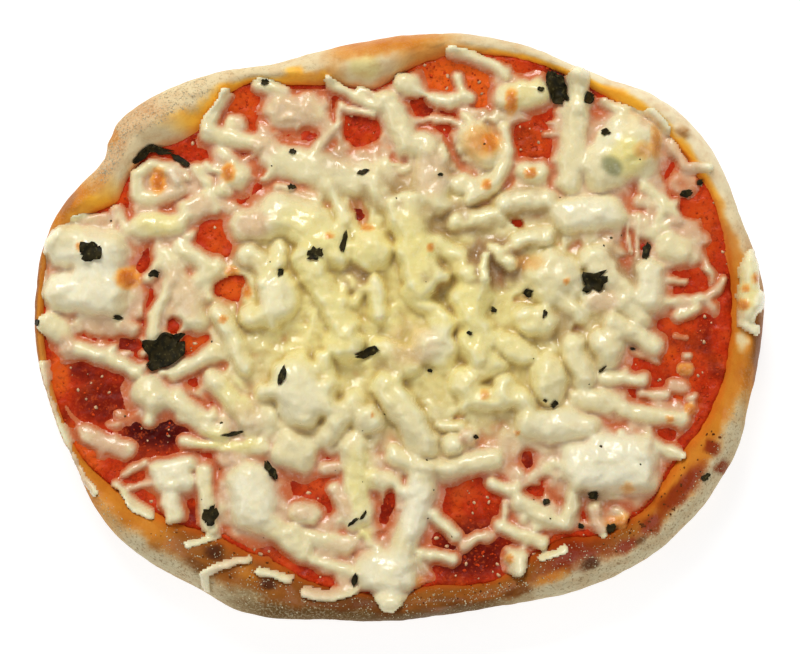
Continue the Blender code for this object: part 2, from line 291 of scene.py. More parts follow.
def write_colours(mesh: bpy.types.Mesh, colours: np.ndarray) -> None:
    """Keep screen colours on a mesh's corners as the linear attribute that its finish reads.

    Args:
        mesh: The mesh.
        colours: One row of 0 to 255 for each vertex.
    """
    share = np.clip(colours, 0.0, 255.0) / 255.0
    low = share / 12.92
    high = ((share + 0.055) / 1.055) ** 2.4
    values = np.ones((len(share), 4))
    values[:, :3] = np.where(share <= 0.04045, low, high)
    layer = mesh.color_attributes.new("tone", "FLOAT_COLOR", "POINT")
    layer.data.foreach_set("color", values.astype(np.float32).ravel())


def write_values(mesh: bpy.types.Mesh, name: str, values: np.ndarray) -> None:
    """Keep one number for each vertex as an attribute.

    Args:
        mesh: The mesh.
        name: The attribute's name.
        values: One number for each vertex.
    """
    layer = mesh.attributes.new(name, "FLOAT", "POINT")
    layer.data.foreach_set("value", values.astype(np.float32).ravel())


def places(edit: bmesh.types.BMesh) -> np.ndarray:
    """The vertices of an edited mesh, one row each."""
    return np.array([vert.co[:] for vert in edit.verts], float)


def mesh_places(mesh: bpy.types.Mesh) -> np.ndarray:
    """The vertices of a finished mesh in millimetres, one row each."""
    flat = np.empty(len(mesh.vertices) * 3, np.float32)
    mesh.vertices.foreach_get("co", flat)
    return flat.reshape(-1, 3).astype(float) / MM


class Nodes:
    """A short way to lay out a material's nodes."""

    def __init__(self, name: str) -> None:
        """Start a material of this name with only its shader.

        Args:
            name: The material's name.
        """
        self.material = bpy.data.materials.new(name)
        self.material.use_nodes = True
        self.tree = self.material.node_tree
        self.shader = self.tree.nodes["Principled BSDF"]
        self.place = self.add("ShaderNodeTexCoord").outputs["Object"]

    def add(self, kind: str, **settings: object) -> bpy.types.Node:
        """Add a node.

        Args:
            kind: The node's type.
            **settings: Its settings by name.

        Returns:
            The node.
        """
        node = self.tree.nodes.new(kind)
        for key, value in settings.items():
            setattr(node, key, value)
        return node

    def put(self, socket: bpy.types.NodeSocket, value: object) -> None:
        """Link an output to a socket, or set the socket to a value.

        Args:
            socket: The input socket.
            value: An output socket or a plain value.
        """
        if isinstance(value, bpy.types.NodeSocket):
            self.tree.links.new(value, socket)
        else:
            socket.default_value = value

    def noise(self, size: float, detail: float = 2.0, roughness: float = 0.5) -> bpy.types.NodeSocket:
        """Noise with swells of a size in millimetres.

        Args:
            size: The width of one swell.
            detail: How many finer layers it has.
            roughness: How strong those are.

        Returns:
            The noise's value.
        """
        node = self.add("ShaderNodeTexNoise")
        self.put(node.inputs["Vector"], self.place)
        node.inputs["Scale"].default_value = 1.0 / (size * MM)
        node.inputs["Detail"].default_value = detail
        node.inputs["Roughness"].default_value = roughness
        return node.outputs["Fac"]

    def span(
        self, value: object, low: float, high: float, to_low: float, to_high: float
    ) -> bpy.types.NodeSocket:
        """Carry a value from one range to another, smoothly and held at the ends.

        Args:
            value: The value.
            low: The start of its range.
            high: The end of its range.
            to_low: What the start becomes.
            to_high: What the end becomes.

        Returns:
            The new value.
        """
        node = self.add("ShaderNodeMapRange", interpolation_type="SMOOTHSTEP")
        keys = ("Value", "From Min", "From Max", "To Min", "To Max")
        for key, part in zip(keys, (value, low, high, to_low, to_high)):
            self.put(node.inputs[key], part)
        return node.outputs["Result"]

    def times(self, first: object, second: object) -> bpy.types.NodeSocket:
        """Multiply two values."""
        node = self.add("ShaderNodeMath", operation="MULTIPLY")
        self.put(node.inputs[0], first)
        self.put(node.inputs[1], second)
        return node.outputs[0]

    def mix(self, share: object, first: object, second: object, kind: str = "MIX") -> bpy.types.NodeSocket:
        """Mix two colours.

        Args:
            share: How much of the second is laid on.
            first: The colour below.
            second: The colour laid on.
            kind: How it is laid on.

        Returns:
            The mixed colour.
        """
        node = self.add("ShaderNodeMix", data_type="RGBA", blend_type=kind)
        self.put(node.inputs["Factor"], share)
        self.put(node.inputs[6], first)
        self.put(node.inputs[7], second)
        return node.outputs[2]

    def attribute(self, name: str) -> bpy.types.Node:
        """The node that reads a mesh's attribute."""
        return self.add("ShaderNodeAttribute", attribute_name=name)

    def bump(self, layers: list[tuple[object, float]]) -> None:
        """Give the surface fine relief.

        Args:
            layers: Each height and how high it stands in millimetres.
        """
        normal = None
        for height, depth in layers:
            node = self.add("ShaderNodeBump")
            node.inputs["Strength"].default_value = 1.0
            node.inputs["Distance"].default_value = depth * MM
            self.put(node.inputs["Height"], height)
            if normal is not None:
                self.put(node.inputs["Normal"], normal)
            normal = node.outputs["Normal"]
        self.put(self.shader.inputs["Normal"], normal)


@dataclass(frozen=True)
class CheeseFinish:
    """Melted cheese: oily, softly uneven gloss, a little light passing through."""

    name: str = "melted cheese"

    def build(self) -> bpy.types.Material:
        """Make the material.

        Returns:
            The material.
        """
        nodes = Nodes(self.name)
        base = nodes.attribute("tone").outputs["Color"]
        swells = nodes.noise(2.2, 3.0, 0.55)
        warm = nodes.mix(nodes.span(swells, 0.42, 0.68, 0.0, 0.30), base, (0.98, 0.90, 0.68, 1.0), "MULTIPLY")
        fine = nodes.noise(0.7, 2.0)
        colour = nodes.mix(nodes.span(fine, 0.55, 0.75, 0.0, 0.14), warm, (1.0, 0.94, 0.80, 1.0))
        nodes.put(nodes.shader.inputs["Base Color"], colour)
        nodes.put(nodes.shader.inputs["Roughness"], nodes.span(nodes.noise(1.8, 2.0), 0.35, 0.65, 0.13, 0.34))
        nodes.shader.inputs["Subsurface Weight"].default_value = 0.18
        nodes.shader.inputs["Subsurface Radius"].default_value = (1.0, 0.6, 0.35)
        nodes.shader.inputs["Subsurface Scale"].default_value = 0.0014
        nodes.shader.inputs["Specular IOR Level"].default_value = 0.5
        nodes.bump([(swells, 0.14), (nodes.noise(0.6, 2.0), 0.05)])
        return nodes.material


@dataclass(frozen=True)
class SauceFinish:
    """Cooked tomato sauce: wet, with pulp and soft uneven gloss."""

    name: str = "tomato sauce"

    def build(self) -> bpy.types.Material:
        """Make the material.

        Returns:
            The material.
        """
        nodes = Nodes(self.name)
        base = nodes.attribute("tone").outputs["Color"]
        pulp = nodes.noise(0.9, 4.0, 0.7)
        # The low places of the pulp relief take the darkest tone, partly painted shade.
        dark = nodes.mix(nodes.span(pulp, 0.35, 0.5, 0.35, 0.0), base, linear(*Tone.SAUCE_DARK_AND_SHADED.value))
        colour = nodes.mix(nodes.span(pulp, 0.54, 0.66, 0.0, 0.40), dark, linear(*Tone.SAUCE_PULP.value))
        nodes.put(nodes.shader.inputs["Base Color"], colour)
        nodes.put(nodes.shader.inputs["Roughness"], nodes.span(nodes.noise(1.4, 2.0), 0.35, 0.65, 0.20, 0.42))
        nodes.shader.inputs["Subsurface Weight"].default_value = 0.06
        nodes.shader.inputs["Subsurface Radius"].default_value = (1.0, 0.15, 0.05)
        nodes.shader.inputs["Subsurface Scale"].default_value = 0.001
        nodes.shader.inputs["Specular IOR Level"].default_value = 0.14
        nodes.bump([(pulp, 0.14), (nodes.noise(0.35, 2.0), 0.03)])
        return nodes.material


@dataclass(frozen=True)
class CrustFinish:
    """Baked dough: matte, dusted with flour, glossier where it browned."""

    name: str = "baked crust"

    def build(self) -> bpy.types.Material:
        """Make the material.

        Returns:
            The material.
        """
        nodes = Nodes(self.name)
        base = nodes.attribute("tone").outputs["Color"]
        flour = nodes.attribute("flour").outputs["Fac"]
        swells = nodes.noise(3.0, 4.0, 0.6)
        warm = nodes.mix(nodes.span(swells, 0.40, 0.66, 0.0, 0.30), base, linear(222, 166, 104), "MULTIPLY")
        dust = nodes.times(nodes.span(nodes.noise(0.42, 3.0, 0.7), 0.50, 0.60, 0.0, 0.60), flour)
        dusty = nodes.mix(dust, warm, linear(212, 196, 156))
        specks = nodes.times(nodes.span(nodes.noise(0.5, 2.0, 0.6), 0.54, 0.66, 0.0, 0.65), flour)
        colour = nodes.mix(specks, dusty, linear(132, 94, 50))
        nodes.put(nodes.shader.inputs["Base Color"], colour)
        nodes.put(nodes.shader.inputs["Roughness"], nodes.span(flour, 0.0, 0.6, 0.40, 0.88))
        nodes.shader.inputs["Specular IOR Level"].default_value = 0.12
        nodes.shader.inputs["Subsurface Weight"].default_value = 0.05
        nodes.shader.inputs["Subsurface Radius"].default_value = (1.0, 0.6, 0.4)
        nodes.shader.inputs["Subsurface Scale"].default_value = 0.001
        nodes.bump([(nodes.noise(0.9, 3.0, 0.6), 0.12), (nodes.noise(0.3, 2.0), 0.05)])
        return nodes.material


@dataclass(frozen=True)
class LeafFinish:
    """Dried basil: dull dark olive with paler veins and edges."""

    name: str = "dried basil"

    def build(self) -> bpy.types.Material:
        """Make the material.

        Returns:
            The material.
        """
        nodes = Nodes(self.name)
        base = nodes.attribute("tone").outputs["Color"]
        flecks = nodes.noise(0.6, 3.0, 0.6)
        colour = nodes.mix(nodes.span(flecks, 0.54, 0.72, 0.0, 0.45), base, linear(112, 104, 62))
        nodes.put(nodes.shader.inputs["Base Color"], colour)
        nodes.put(nodes.shader.inputs["Roughness"], nodes.span(flecks, 0.3, 0.7, 0.40, 0.70))
        nodes.shader.inputs["Specular IOR Level"].default_value = 0.10
        nodes.bump([(flecks, 0.08)])
        return nodes.material


@dataclass(frozen=True)
class SpeckFinish:
    """Loose crumbs and flour grains: matte, of one tone with a little change."""

    name: str
    tone: tuple[int, int, int]
    roughness: float = 0.8

    def build(self) -> bpy.types.Material:
        """Make the material.

        Returns:
            The material.
        """
        nodes = Nodes(self.name)
        colour = linear(*self.tone)
        dark = tuple(part * 0.6 for part in colour[:3]) + (1.0,)
        shade = nodes.span(nodes.noise(0.8), 0.35, 0.65, 0.0, 1.0)
        nodes.put(nodes.shader.inputs["Base Color"], nodes.mix(shade, colour, dark))
        nodes.shader.inputs["Roughness"].default_value = self.roughness
        nodes.shader.inputs["Specular IOR Level"].default_value = 0.12
        nodes.bump([(nodes.noise(0.25), 0.03)])
        return nodes.material


def finished(edit: bmesh.types.BMesh, name: str, finish: bpy.types.Material) -> bpy.types.Object:
    """Turn an edited mesh in millimetres into a smooth object in metres.

    Args:
        edit: The edited mesh, which is freed.
        name: The piece's name.
        finish: Its material.

    Returns:
        The object.
    """
    bmesh.ops.scale(edit, vec=(MM, MM, MM), verts=edit.verts)
    mesh = bpy.data.meshes.new(name)
    edit.to_mesh(mesh)
    edit.free()
    mesh.materials.append(finish)
    mesh.shade_smooth()
    piece = bpy.data.objects.new(name, mesh)
    bpy.context.scene.collection.objects.link(piece)
    LOG.info("%s: %d faces", name, len(mesh.polygons))
    return piece


@dataclass
class Relief:
    """A closed sheet over the plane whose top follows a height and whose foot is flat."""

    step: float
    foot: float

    def build(
        self, height: Callable[[np.ndarray, np.ndarray], np.ndarray], half: tuple[float, float]
    ) -> bmesh.types.BMesh:
        """Make the sheet where the height is a number, and nothing where it is not.

        Args:
            height: Gives the height at each place, or nan where there is no sheet.
            half: How far the sheet may reach along X and along Y.

        Returns:
            The edited mesh.
        """
        edit = bmesh.new()
        counts = [max(2, round(2.0 * reach / self.step)) for reach in half]
        bmesh.ops.create_grid(edit, x_segments=counts[0], y_segments=counts[1], size=1.0)
        bmesh.ops.scale(edit, vec=(half[0], half[1], 1.0), verts=edit.verts)
        edit.verts.ensure_lookup_table()
        spots = places(edit)
        tops = height(spots[:, 0], spots[:, 1])
        there = ~np.isnan(tops)
        for vert, top in zip(edit.verts, tops):
            vert.co.z = top if top == top else 0.0
        edit.verts.index_update()
        gone = [face for face in edit.faces if not all(there[vert.index] for vert in face.verts)]
        bmesh.ops.delete(edit, geom=gone, context="FACES")
        self.part_corners(edit)
        self.close(edit)
        return edit

    @staticmethod
    def part_corners(edit: bmesh.types.BMesh) -> None:
        """Delete faces that touch the rest only at a corner, until none is left.

        Args:
            edit: The edited mesh.
        """
        while True:
            pinched = [vert for vert in edit.verts if sum(edge.is_boundary for edge in vert.link_edges) > 2]
            if not pinched:
                break
            faces = list({face for vert in pinched for face in vert.link_faces})
            bmesh.ops.delete(edit, geom=faces, context="FACES")

    def close(self, edit: bmesh.types.BMesh) -> None:
        """Draw the open edge down to the foot and fill the under face.

        Args:
            edit: The edited mesh.
        """
        loose = [vert for vert in edit.verts if not vert.link_faces]
        bmesh.ops.delete(edit, geom=loose, context="VERTS")
        rim = [edge for edge in edit.edges if edge.is_boundary]
        drawn = bmesh.ops.extrude_edge_only(edit, edges=rim)["geom"]
        for item in drawn:
            if isinstance(item, bmesh.types.BMVert):
                item.co.z = self.foot
        under = [item for item in drawn if isinstance(item, bmesh.types.BMEdge)]
        bmesh.ops.triangle_fill(edit, use_beauty=False, use_dissolve=False, edges=under, normal=(0, 0, -1))
        bmesh.ops.recalc_face_normals(edit, faces=edit.faces)


@dataclass
class Crust:
    """The dough: a risen rim round a pressed dish, with folds, a bubble and browned bands."""

    directions: int = 460
    rim_steps: int = 46
    # Swells of the rim: middle x and y, length, width, turn, height.
    swells: tuple[tuple[float, ...], ...] = (
        (-6.0, 45.0, 10.0, 7.0, 0.0, 1.6),
        (48.5, 33.4, 3.4, 2.6, -40.0, 0.9),
        (-50.0, 31.5, 3.4, 3.0, 20.0, 0.8),
        (-42.0, 35.0, 12.0, 7.0, 30.0, 0.9),
        (-55.5, 20.5, 6.0, 5.0, 40.0, 1.0),
        (-20.0, 43.6, 8.0, 3.0, 10.0, 0.7),
        (24.0, 47.4, 16.0, 4.0, -18.0, 0.6),
        (59.5, -5.0, 4.5, 9.0, 0.0, 0.9),
        (54.5, -17.0, 8.0, 5.0, 70.0, 0.9),
        (50.0, -29.0, 12.0, 6.0, 50.0, 0.9),
        (36.0, -40.0, 9.0, 5.0, 25.0, 0.8),
        (10.0, -46.8, 22.0, 4.0, 4.0, 0.6),
        (-14.0, -47.8, 16.0, 4.0, -3.0, 0.7),
        (-36.0, -40.4, 14.0, 6.0, -32.0, 1.0),
        (-49.0, -31.0, 9.0, 8.0, -50.0, 1.0),
    )
    # The rim's colours: direction, the reach where inner meets outer, both tones, flour outside.
    bands: tuple[tuple[object, ...], ...] = (
        (0.0, 1.60, Tone.DOUGH_GOLD, Tone.DOUGH_BROWN, 0.15),
        (9.0, 1.50, Tone.DOUGH_GOLD, Tone.DOUGH_TAN, 0.40),
        (17.0, 1.35, Tone.DOUGH_AMBER, Tone.DOUGH_PALE, 0.30),
        (26.0, 1.20, Tone.DOUGH_ORANGE, Tone.DOUGH_GREEN, 0.06),
        (38.0, 1.34, Tone.DOUGH_ORANGE, Tone.DOUGH_GREEN, 0.04),
        (47.0, 1.50, Tone.DOUGH_ORANGE, Tone.DOUGH_GREEN, 0.04),
        (56.0, 1.34, Tone.DOUGH_ORANGE, Tone.DOUGH_GREEN, 0.04),
        (66.0, 1.25, Tone.DOUGH_ORANGE, Tone.DOUGH_PALE, 0.08),
        (77.0, 1.35, Tone.DOUGH_AMBER, Tone.DOUGH_PALE, 0.15),
        (86.0, 1.45, Tone.DOUGH_AMBER, Tone.DOUGH_GOLD, 0.15),
        (93.0, 1.60, Tone.DOUGH_PALE, Tone.DOUGH_GOLD, 0.15),
        (101.0, 1.60, Tone.DOUGH_PALE, Tone.DOUGH_AMBER, 0.20),
        (107.0, 1.40, Tone.DOUGH_AMBER, Tone.DOUGH_PALE, 0.25),
        (116.0, 1.30, Tone.DOUGH_ORANGE, Tone.DOUGH_PALE, 0.35),
        (126.0, 1.35, Tone.DOUGH_ORANGE, Tone.DOUGH_PALE, 0.55),
        (134.0, 1.35, Tone.DOUGH_ORANGE, Tone.DOUGH_PALE, 0.70),
        (140.0, 1.60, Tone.DOUGH_PALE, Tone.DOUGH_TAN, 0.85),
        (147.0, 1.50, Tone.DOUGH_PALE, Tone.DOUGH_TAN, 0.85),
        (152.0, 1.40, Tone.DOUGH_PALE, Tone.DOUGH_TAN, 0.60),
        (157.0, 1.50, Tone.DOUGH_ORANGE, Tone.DOUGH_GOLD, 0.30),
        (164.0, 1.40, Tone.DOUGH_AMBER, Tone.DOUGH_GOLD, 0.25),
        (176.0, 1.50, Tone.DOUGH_GOLD, Tone.DOUGH_BROWN, 0.20),
        (190.0, 1.50, Tone.DOUGH_AMBER, Tone.DOUGH_GOLD, 0.20),
        (203.0, 1.50, Tone.DOUGH_GOLD, Tone.DOUGH_AMBER, 0.15),
        (211.0, 1.55, Tone.DOUGH_GOLD, Tone.DOUGH_AMBER, 0.40),
        (219.0, 1.52, Tone.DOUGH_GOLD, Tone.DOUGH_FLOUR, 0.90),
        (225.0, 1.60, Tone.DOUGH_BROWN, Tone.DOUGH_FLOUR, 0.95),
        (234.0, 1.62, Tone.DOUGH_BROWN, Tone.DOUGH_FLOUR, 0.95),
        # The outer flank towards -Y is dark grey-brown, partly browning and partly painted shade.
        (246.0, 1.60, Tone.DOUGH_BROWN, Tone.DOUGH_GREY_AND_SHADE, 0.80),
        (255.0, 1.56, Tone.DOUGH_DARK, Tone.DOUGH_GREY_AND_SHADE, 0.70),
        (264.0, 1.60, Tone.DOUGH_DARK, Tone.DOUGH_GREY_AND_SHADE, 0.30),
        (276.0, 1.70, Tone.DOUGH_BROWN, Tone.DOUGH_GREY_AND_SHADE, 0.25),
        (287.0, 1.66, Tone.DOUGH_BROWN, Tone.DOUGH_GREY_AND_SHADE, 0.50),
        (297.0, 1.56, Tone.DOUGH_BROWN, Tone.DOUGH_FLOUR, 0.80),
        (307.0, 1.50, Tone.DRIED_SAUCE, Tone.DOUGH_FLOUR, 0.90),
        (317.0, 1.50, Tone.DOUGH_BROWN, Tone.DOUGH_FLOUR, 0.95),
        (328.0, 1.50, Tone.DOUGH_GOLD, Tone.DOUGH_FLOUR, 0.95),
        (337.0, 1.50, Tone.DOUGH_GOLD, Tone.DOUGH_FLOUR, 0.90),
        (344.0, 1.45, Tone.DOUGH_GOLD, Tone.DOUGH_FLOUR, 0.80),
        (351.0, 1.50, Tone.DOUGH_GOLD, Tone.DOUGH_GOLD, 0.30),
    )
    # Spots over the bands: middle x and y, length, width, turn, tone, strength.
    patches: tuple[tuple[object, ...], ...] = (
        (-49.4, 33.0, 3.0, 5.0, 20.0, Tone.DOUGH_GOLD, 0.6),
        (-56.8, 21.4, 6.0, 3.4, 50.0, Tone.DOUGH_BROWN, 0.6),
        (-18.0, 43.6, 4.0, 2.4, 0.0, Tone.DOUGH_ORANGE, 0.8),
        (-13.0, 42.6, 3.0, 2.0, 0.0, Tone.DOUGH_ORANGE, 0.7),
        (-6.0, 44.2, 7.0, 5.0, 0.0, Tone.YELLOW, 0.6),
        (-5.5, 48.4, 14.0, 2.6, 3.0, Tone.DOUGH_GOLD, 0.7),
        (48.6, 33.2, 3.0, 2.4, -40.0, Tone.DOUGH_BROWN, 0.7),
        (58.2, -2.2, 2.8, 4.2, 0.0, Tone.CREAM, 0.9),
        (61.2, -6.0, 2.6, 20.0, 6.0, Tone.DOUGH_DARK, 0.5),
        (48.0, -27.6, 4.2, 15.0, -42.0, Tone.DRIED_SAUCE, 0.85),
        (42.8, -33.6, 4.0, 6.0, -40.0, Tone.DRIED_SAUCE, 0.8),
        (53.2, -20.4, 3.4, 4.2, 20.0, Tone.DRIED_SAUCE, 0.9),
        (55.0, -24.0, 3.6, 3.0, 0.0, Tone.DRIED_SAUCE, 0.85),
        (38.5, -37.2, 5.0, 3.0, 30.0, Tone.DRIED_SAUCE, 0.85),
        (32.3, -40.2, 4.6, 2.6, 30.0, Tone.DOUGH_BURNT, 0.85),
        (20.0, -45.0, 7.0, 2.0, 12.0, Tone.DOUGH_DARK, 0.8),
        (8.0, -46.6, 8.0, 1.8, 4.0, Tone.DOUGH_DARK, 0.7),
        (-31.5, -38.4, 4.4, 3.4, -20.0, Tone.DOUGH_BURNT, 0.85),
        (-22.5, -43.6, 3.6, 2.4, -15.0, Tone.DOUGH_BURNT, 0.8),
        (-34.4, -40.6, 6.4, 2.4, -30.0, Tone.DOUGH_DARK, 0.8),
        (-8.0, -47.0, 9.0, 2.0, -4.0, Tone.DOUGH_DARK, 0.7),
        (-26.0, -42.0, 5.0, 3.0, -20.0, Tone.DOUGH_GOLD, 0.6),
        (26.0, -42.6, 8.0, 2.4, 20.0, Tone.DOUGH_GOLD, 0.7),
        (41.0, -36.4, 3.0, 1.8, 40.0, Tone.DOUGH_BURNT, 0.6),
    )

    def profile(self) -> list[tuple[float, float]]:
        """The section from the underside's middle, round the rim, to the dish's middle.

        Returns:
            Pairs of reach and height.
        """
        keys = [(1.55, 0.0), (1.84, 0.5), (1.96, 2.4), (2.0, 5.0), (1.985, 7.4), (1.93, 9.8), (1.82, 11.6)]
        keys += [(1.68, 12.7), (1.50, 13.0), (1.30, 12.3), (1.12, 11.0), (1.0, 9.4), (0.95, 8.6), (0.88, 7.4)]
        shares = np.linspace(0.0, len(keys) - 1.0, self.rim_steps)
        index = np.arange(len(keys), dtype=float)
        turn = [np.interp(shares, index, [key[axis] for key in keys]) for axis in (0, 1)]
        soft = [np.convolve(np.pad(line, 2, mode="edge"), np.ones(5) / 5.0, mode="valid") for line in turn]
        flat = [(0.0, 0.0), (0.7, 0.0), (1.2, 0.0)]
        return flat + list(zip(soft[0], soft[1])) + [(0.7, DOUGH_FLOOR), (0.0, DOUGH_FLOOR)]

    def build(self) -> bpy.types.Object:
        """Model the dough and give it its tones.

        Returns:
            The crust.
        """
        edit = bmesh.new()
        line = [edit.verts.new((reach, 0.0, height)) for reach, height in self.profile()]
        edges = [edit.edges.new(pair) for pair in zip(line, line[1:])]
        bmesh.ops.spin(
            edit, geom=line + edges, cent=(0, 0, 0), axis=(0, 0, 1), angle=math.tau,
            steps=self.directions, use_merge=True, dvec=(0, 0, 0),
        )
        bmesh.ops.remove_doubles(edit, verts=edit.verts, dist=1e-5)
        spots = places(edit)
        moved = self.placed(spots)
        for vert, spot in zip(edit.verts, moved):
            vert.co = spot
        bmesh.ops.recalc_face_normals(edit, faces=edit.faces)
        edit.normal_update()
        self.roughen(edit)
        piece = finished(edit, "crust", CrustFinish().build())
        self.dress(piece)
        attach(piece, "root")
        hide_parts("dough_base")
        return piece

    @staticmethod
    def placed(spots: np.ndarray) -> np.ndarray:
        """Move unit rings to the true outline.

        Args:
            spots: Places whose distance from the middle is a reach and whose z is a height.

        Returns:
            The true places.
        """
        direction = np.degrees(np.arctan2(spots[:, 1], spots[:, 0]))
        reach = np.hypot(spots[:, 0], spots[:, 1])
        edge = ring_value(DISH_EDGE, direction)
        rim = np.maximum(ring_value(OUTLINE, direction) - edge, NARROWEST_RIM)
        distance = np.where(reach < 1.0, reach * edge, edge + (reach - 1.0) * rim)
        lift = Dough.rim_lift(rim)
        high = spots[:, 2] > SAUCE_TOP
        height = np.where(high, SAUCE_TOP + (spots[:, 2] - SAUCE_TOP) * lift, spots[:, 2])
        turn = np.radians(direction)
        return np.stack([distance * np.cos(turn), distance * np.sin(turn), height], axis=1)

    def roughen(self, edit: bmesh.types.BMesh) -> None:
        """Raise the swells and give the dough its lumps and creases.

        Args:
            edit: The edited mesh.
        """
        spots = places(edit)
        x, y = spots[:, 0], spots[:, 1]
        lift = np.zeros(len(spots))
        for *oval, height in self.swells:
            lift += height * smooth_step(0.0, 1.0, blob(x, y, tuple(oval)))
        for index, vert in enumerate(edit.verts):
            spot = vert.co
            if spot.z < 0.3:
                continue
            broad = noise.noise(spot / 6.0) * 0.55 + noise.noise(spot / 2.4) * 0.24
            crease = max(0.0, 0.16 - abs(noise.noise(spot / 4.0 + Vector((9.0, 0.0, 4.0))))) * 1.8
            fine = noise.noise(spot / 0.9) * 0.07
            share = min(1.0, spot.z / 5.0)
            normal = Vector((vert.normal.x * 0.35, vert.normal.y * 0.35, vert.normal.z))
            vert.co = spot + normal * (lift[index] + broad - crease + fine) * share

    def band_tones(self, x: np.ndarray, y: np.ndarray, reach: np.ndarray) -> tuple[np.ndarray, np.ndarray]:
        """The rim's colour and flour from its inner and outer bands.

        Args:
            x: Places along X.
            y: Places along Y.
            reach: Their reach.

        Returns:
            The colours, and how floured each place is.
        """
        direction = np.mod(np.degrees(np.arctan2(y, x)) + 2.0 * grain(x, y, 3.0, 91.0), 360.0)
        angles = np.array([row[0] for row in self.bands])
        after = np.searchsorted(angles, direction, side="right") % len(angles)
        before = (after - 1) % len(angles)
        span = np.mod(angles[after] - angles[before], 360.0)
        share = np.mod(direction - angles[before], 360.0) / span
        border = np.array([row[1] for row in self.bands])
        inner = np.array([row[2].value for row in self.bands], float)
        outer = np.array([row[3].value for row in self.bands], float)
        flour = np.array([row[4] for row in self.bands])
        edge = border[before] + (border[after] - border[before]) * share
        edge += 0.12 * grain(x, y, 4.0, 95.0) + 0.08 * grain(x, y, 1.4, 97.0)
        outside = smooth_step(-0.13, 0.13, reach - edge)
        near = inner[before] + (inner[after] - inner[before]) * share[:, None]
        far = outer[before] + (outer[after] - outer[before]) * share[:, None]
        dust = (flour[before] + (flour[after] - flour[before]) * share) * outside
        return near + (far - near) * outside[:, None], dust

    def dress(self, piece: bpy.types.Object) -> None:
        """Lay the browned, pale and floured bands and spots; the dark outer band towards -Y is partly
        browning and partly painted shade.

        Args:
            piece: The crust.
        """
        spots = mesh_places(piece.data)
        x, y, z = spots.T
        reach = Dough.reach(x, y)
        warp_x = x + 0.7 * grain(x, y, 1.8, 3.0)
        warp_y = y + 0.7 * grain(x, y, 1.8, 8.0)
        colours, flour = self.band_tones(x, y, reach)
        below = smooth_step(9.5, 5.0, z) * smooth_step(1.5, 1.8, reach)
        paint(colours, below * 0.75, Tone.DOUGH_TAN)
        for *oval, tone, strength in self.patches:
            inside = smooth_step(-0.05, 0.55, blob(warp_x, warp_y, tuple(oval)))
            paint(colours, inside * strength, tone)
            flour *= 1.0 - 0.7 * inside * strength
        soaked = smooth_step(1.20, 1.02, reach + 0.06 * grain(x, y, 2.0, 5.0))
        paint(colours, soaked * 0.4, Tone.SAUCE_ORANGE)
        paint(colours, smooth_step(0.5, 0.0, z) * 0.6, Tone.DOUGH_GOLD)
        write_colours(piece.data, colours)
        flour = np.maximum(flour, 0.35 * below)
        write_values(piece.data, "flour", flour * smooth_step(1.0, 1.25, reach))


class Ground:
    """The surface that things are laid on, read by dropping points onto finished pieces."""

    def __init__(self, *pieces: bpy.types.Object) -> None:
        """Gather the pieces' faces.

        Args:
            *pieces: The finished pieces.
        """
        spots: list[Vector] = []
        faces: list[list[int]] = []
        for piece in pieces:
            start = len(spots)
            spots.extend(vert.co / MM for vert in piece.data.vertices)
            faces.extend([start + index for index in face.vertices] for face in piece.data.polygons)
        self.tree = BVHTree.FromPolygons(spots, faces)

    def top(self, x: float, y: float) -> float:
        """The height at one place, 0 where there is nothing."""
        spot = self.tree.ray_cast(Vector((x, y, 60.0)), Vector((0.0, 0.0, -1.0)))[0]
        return spot.z if spot is not None else 0.0

    def tops(self, x: np.ndarray, y: np.ndarray) -> np.ndarray:
        """The height at each place, 0 where there is nothing."""
        return np.array([self.top(px, py) for px, py in zip(x.tolist(), y.tolist())])

    def soft_top(self, x: float, y: float, spread: float) -> float:
        """The height at a place, evened out with four places round it."""
        around = ((0.0, 0.0), (spread, 0.0), (-spread, 0.0), (0.0, spread), (0.0, -spread))
        return max(self.top(x, y), sum(self.top(x + dx, y + dy) for dx, dy in around) / 5.0)


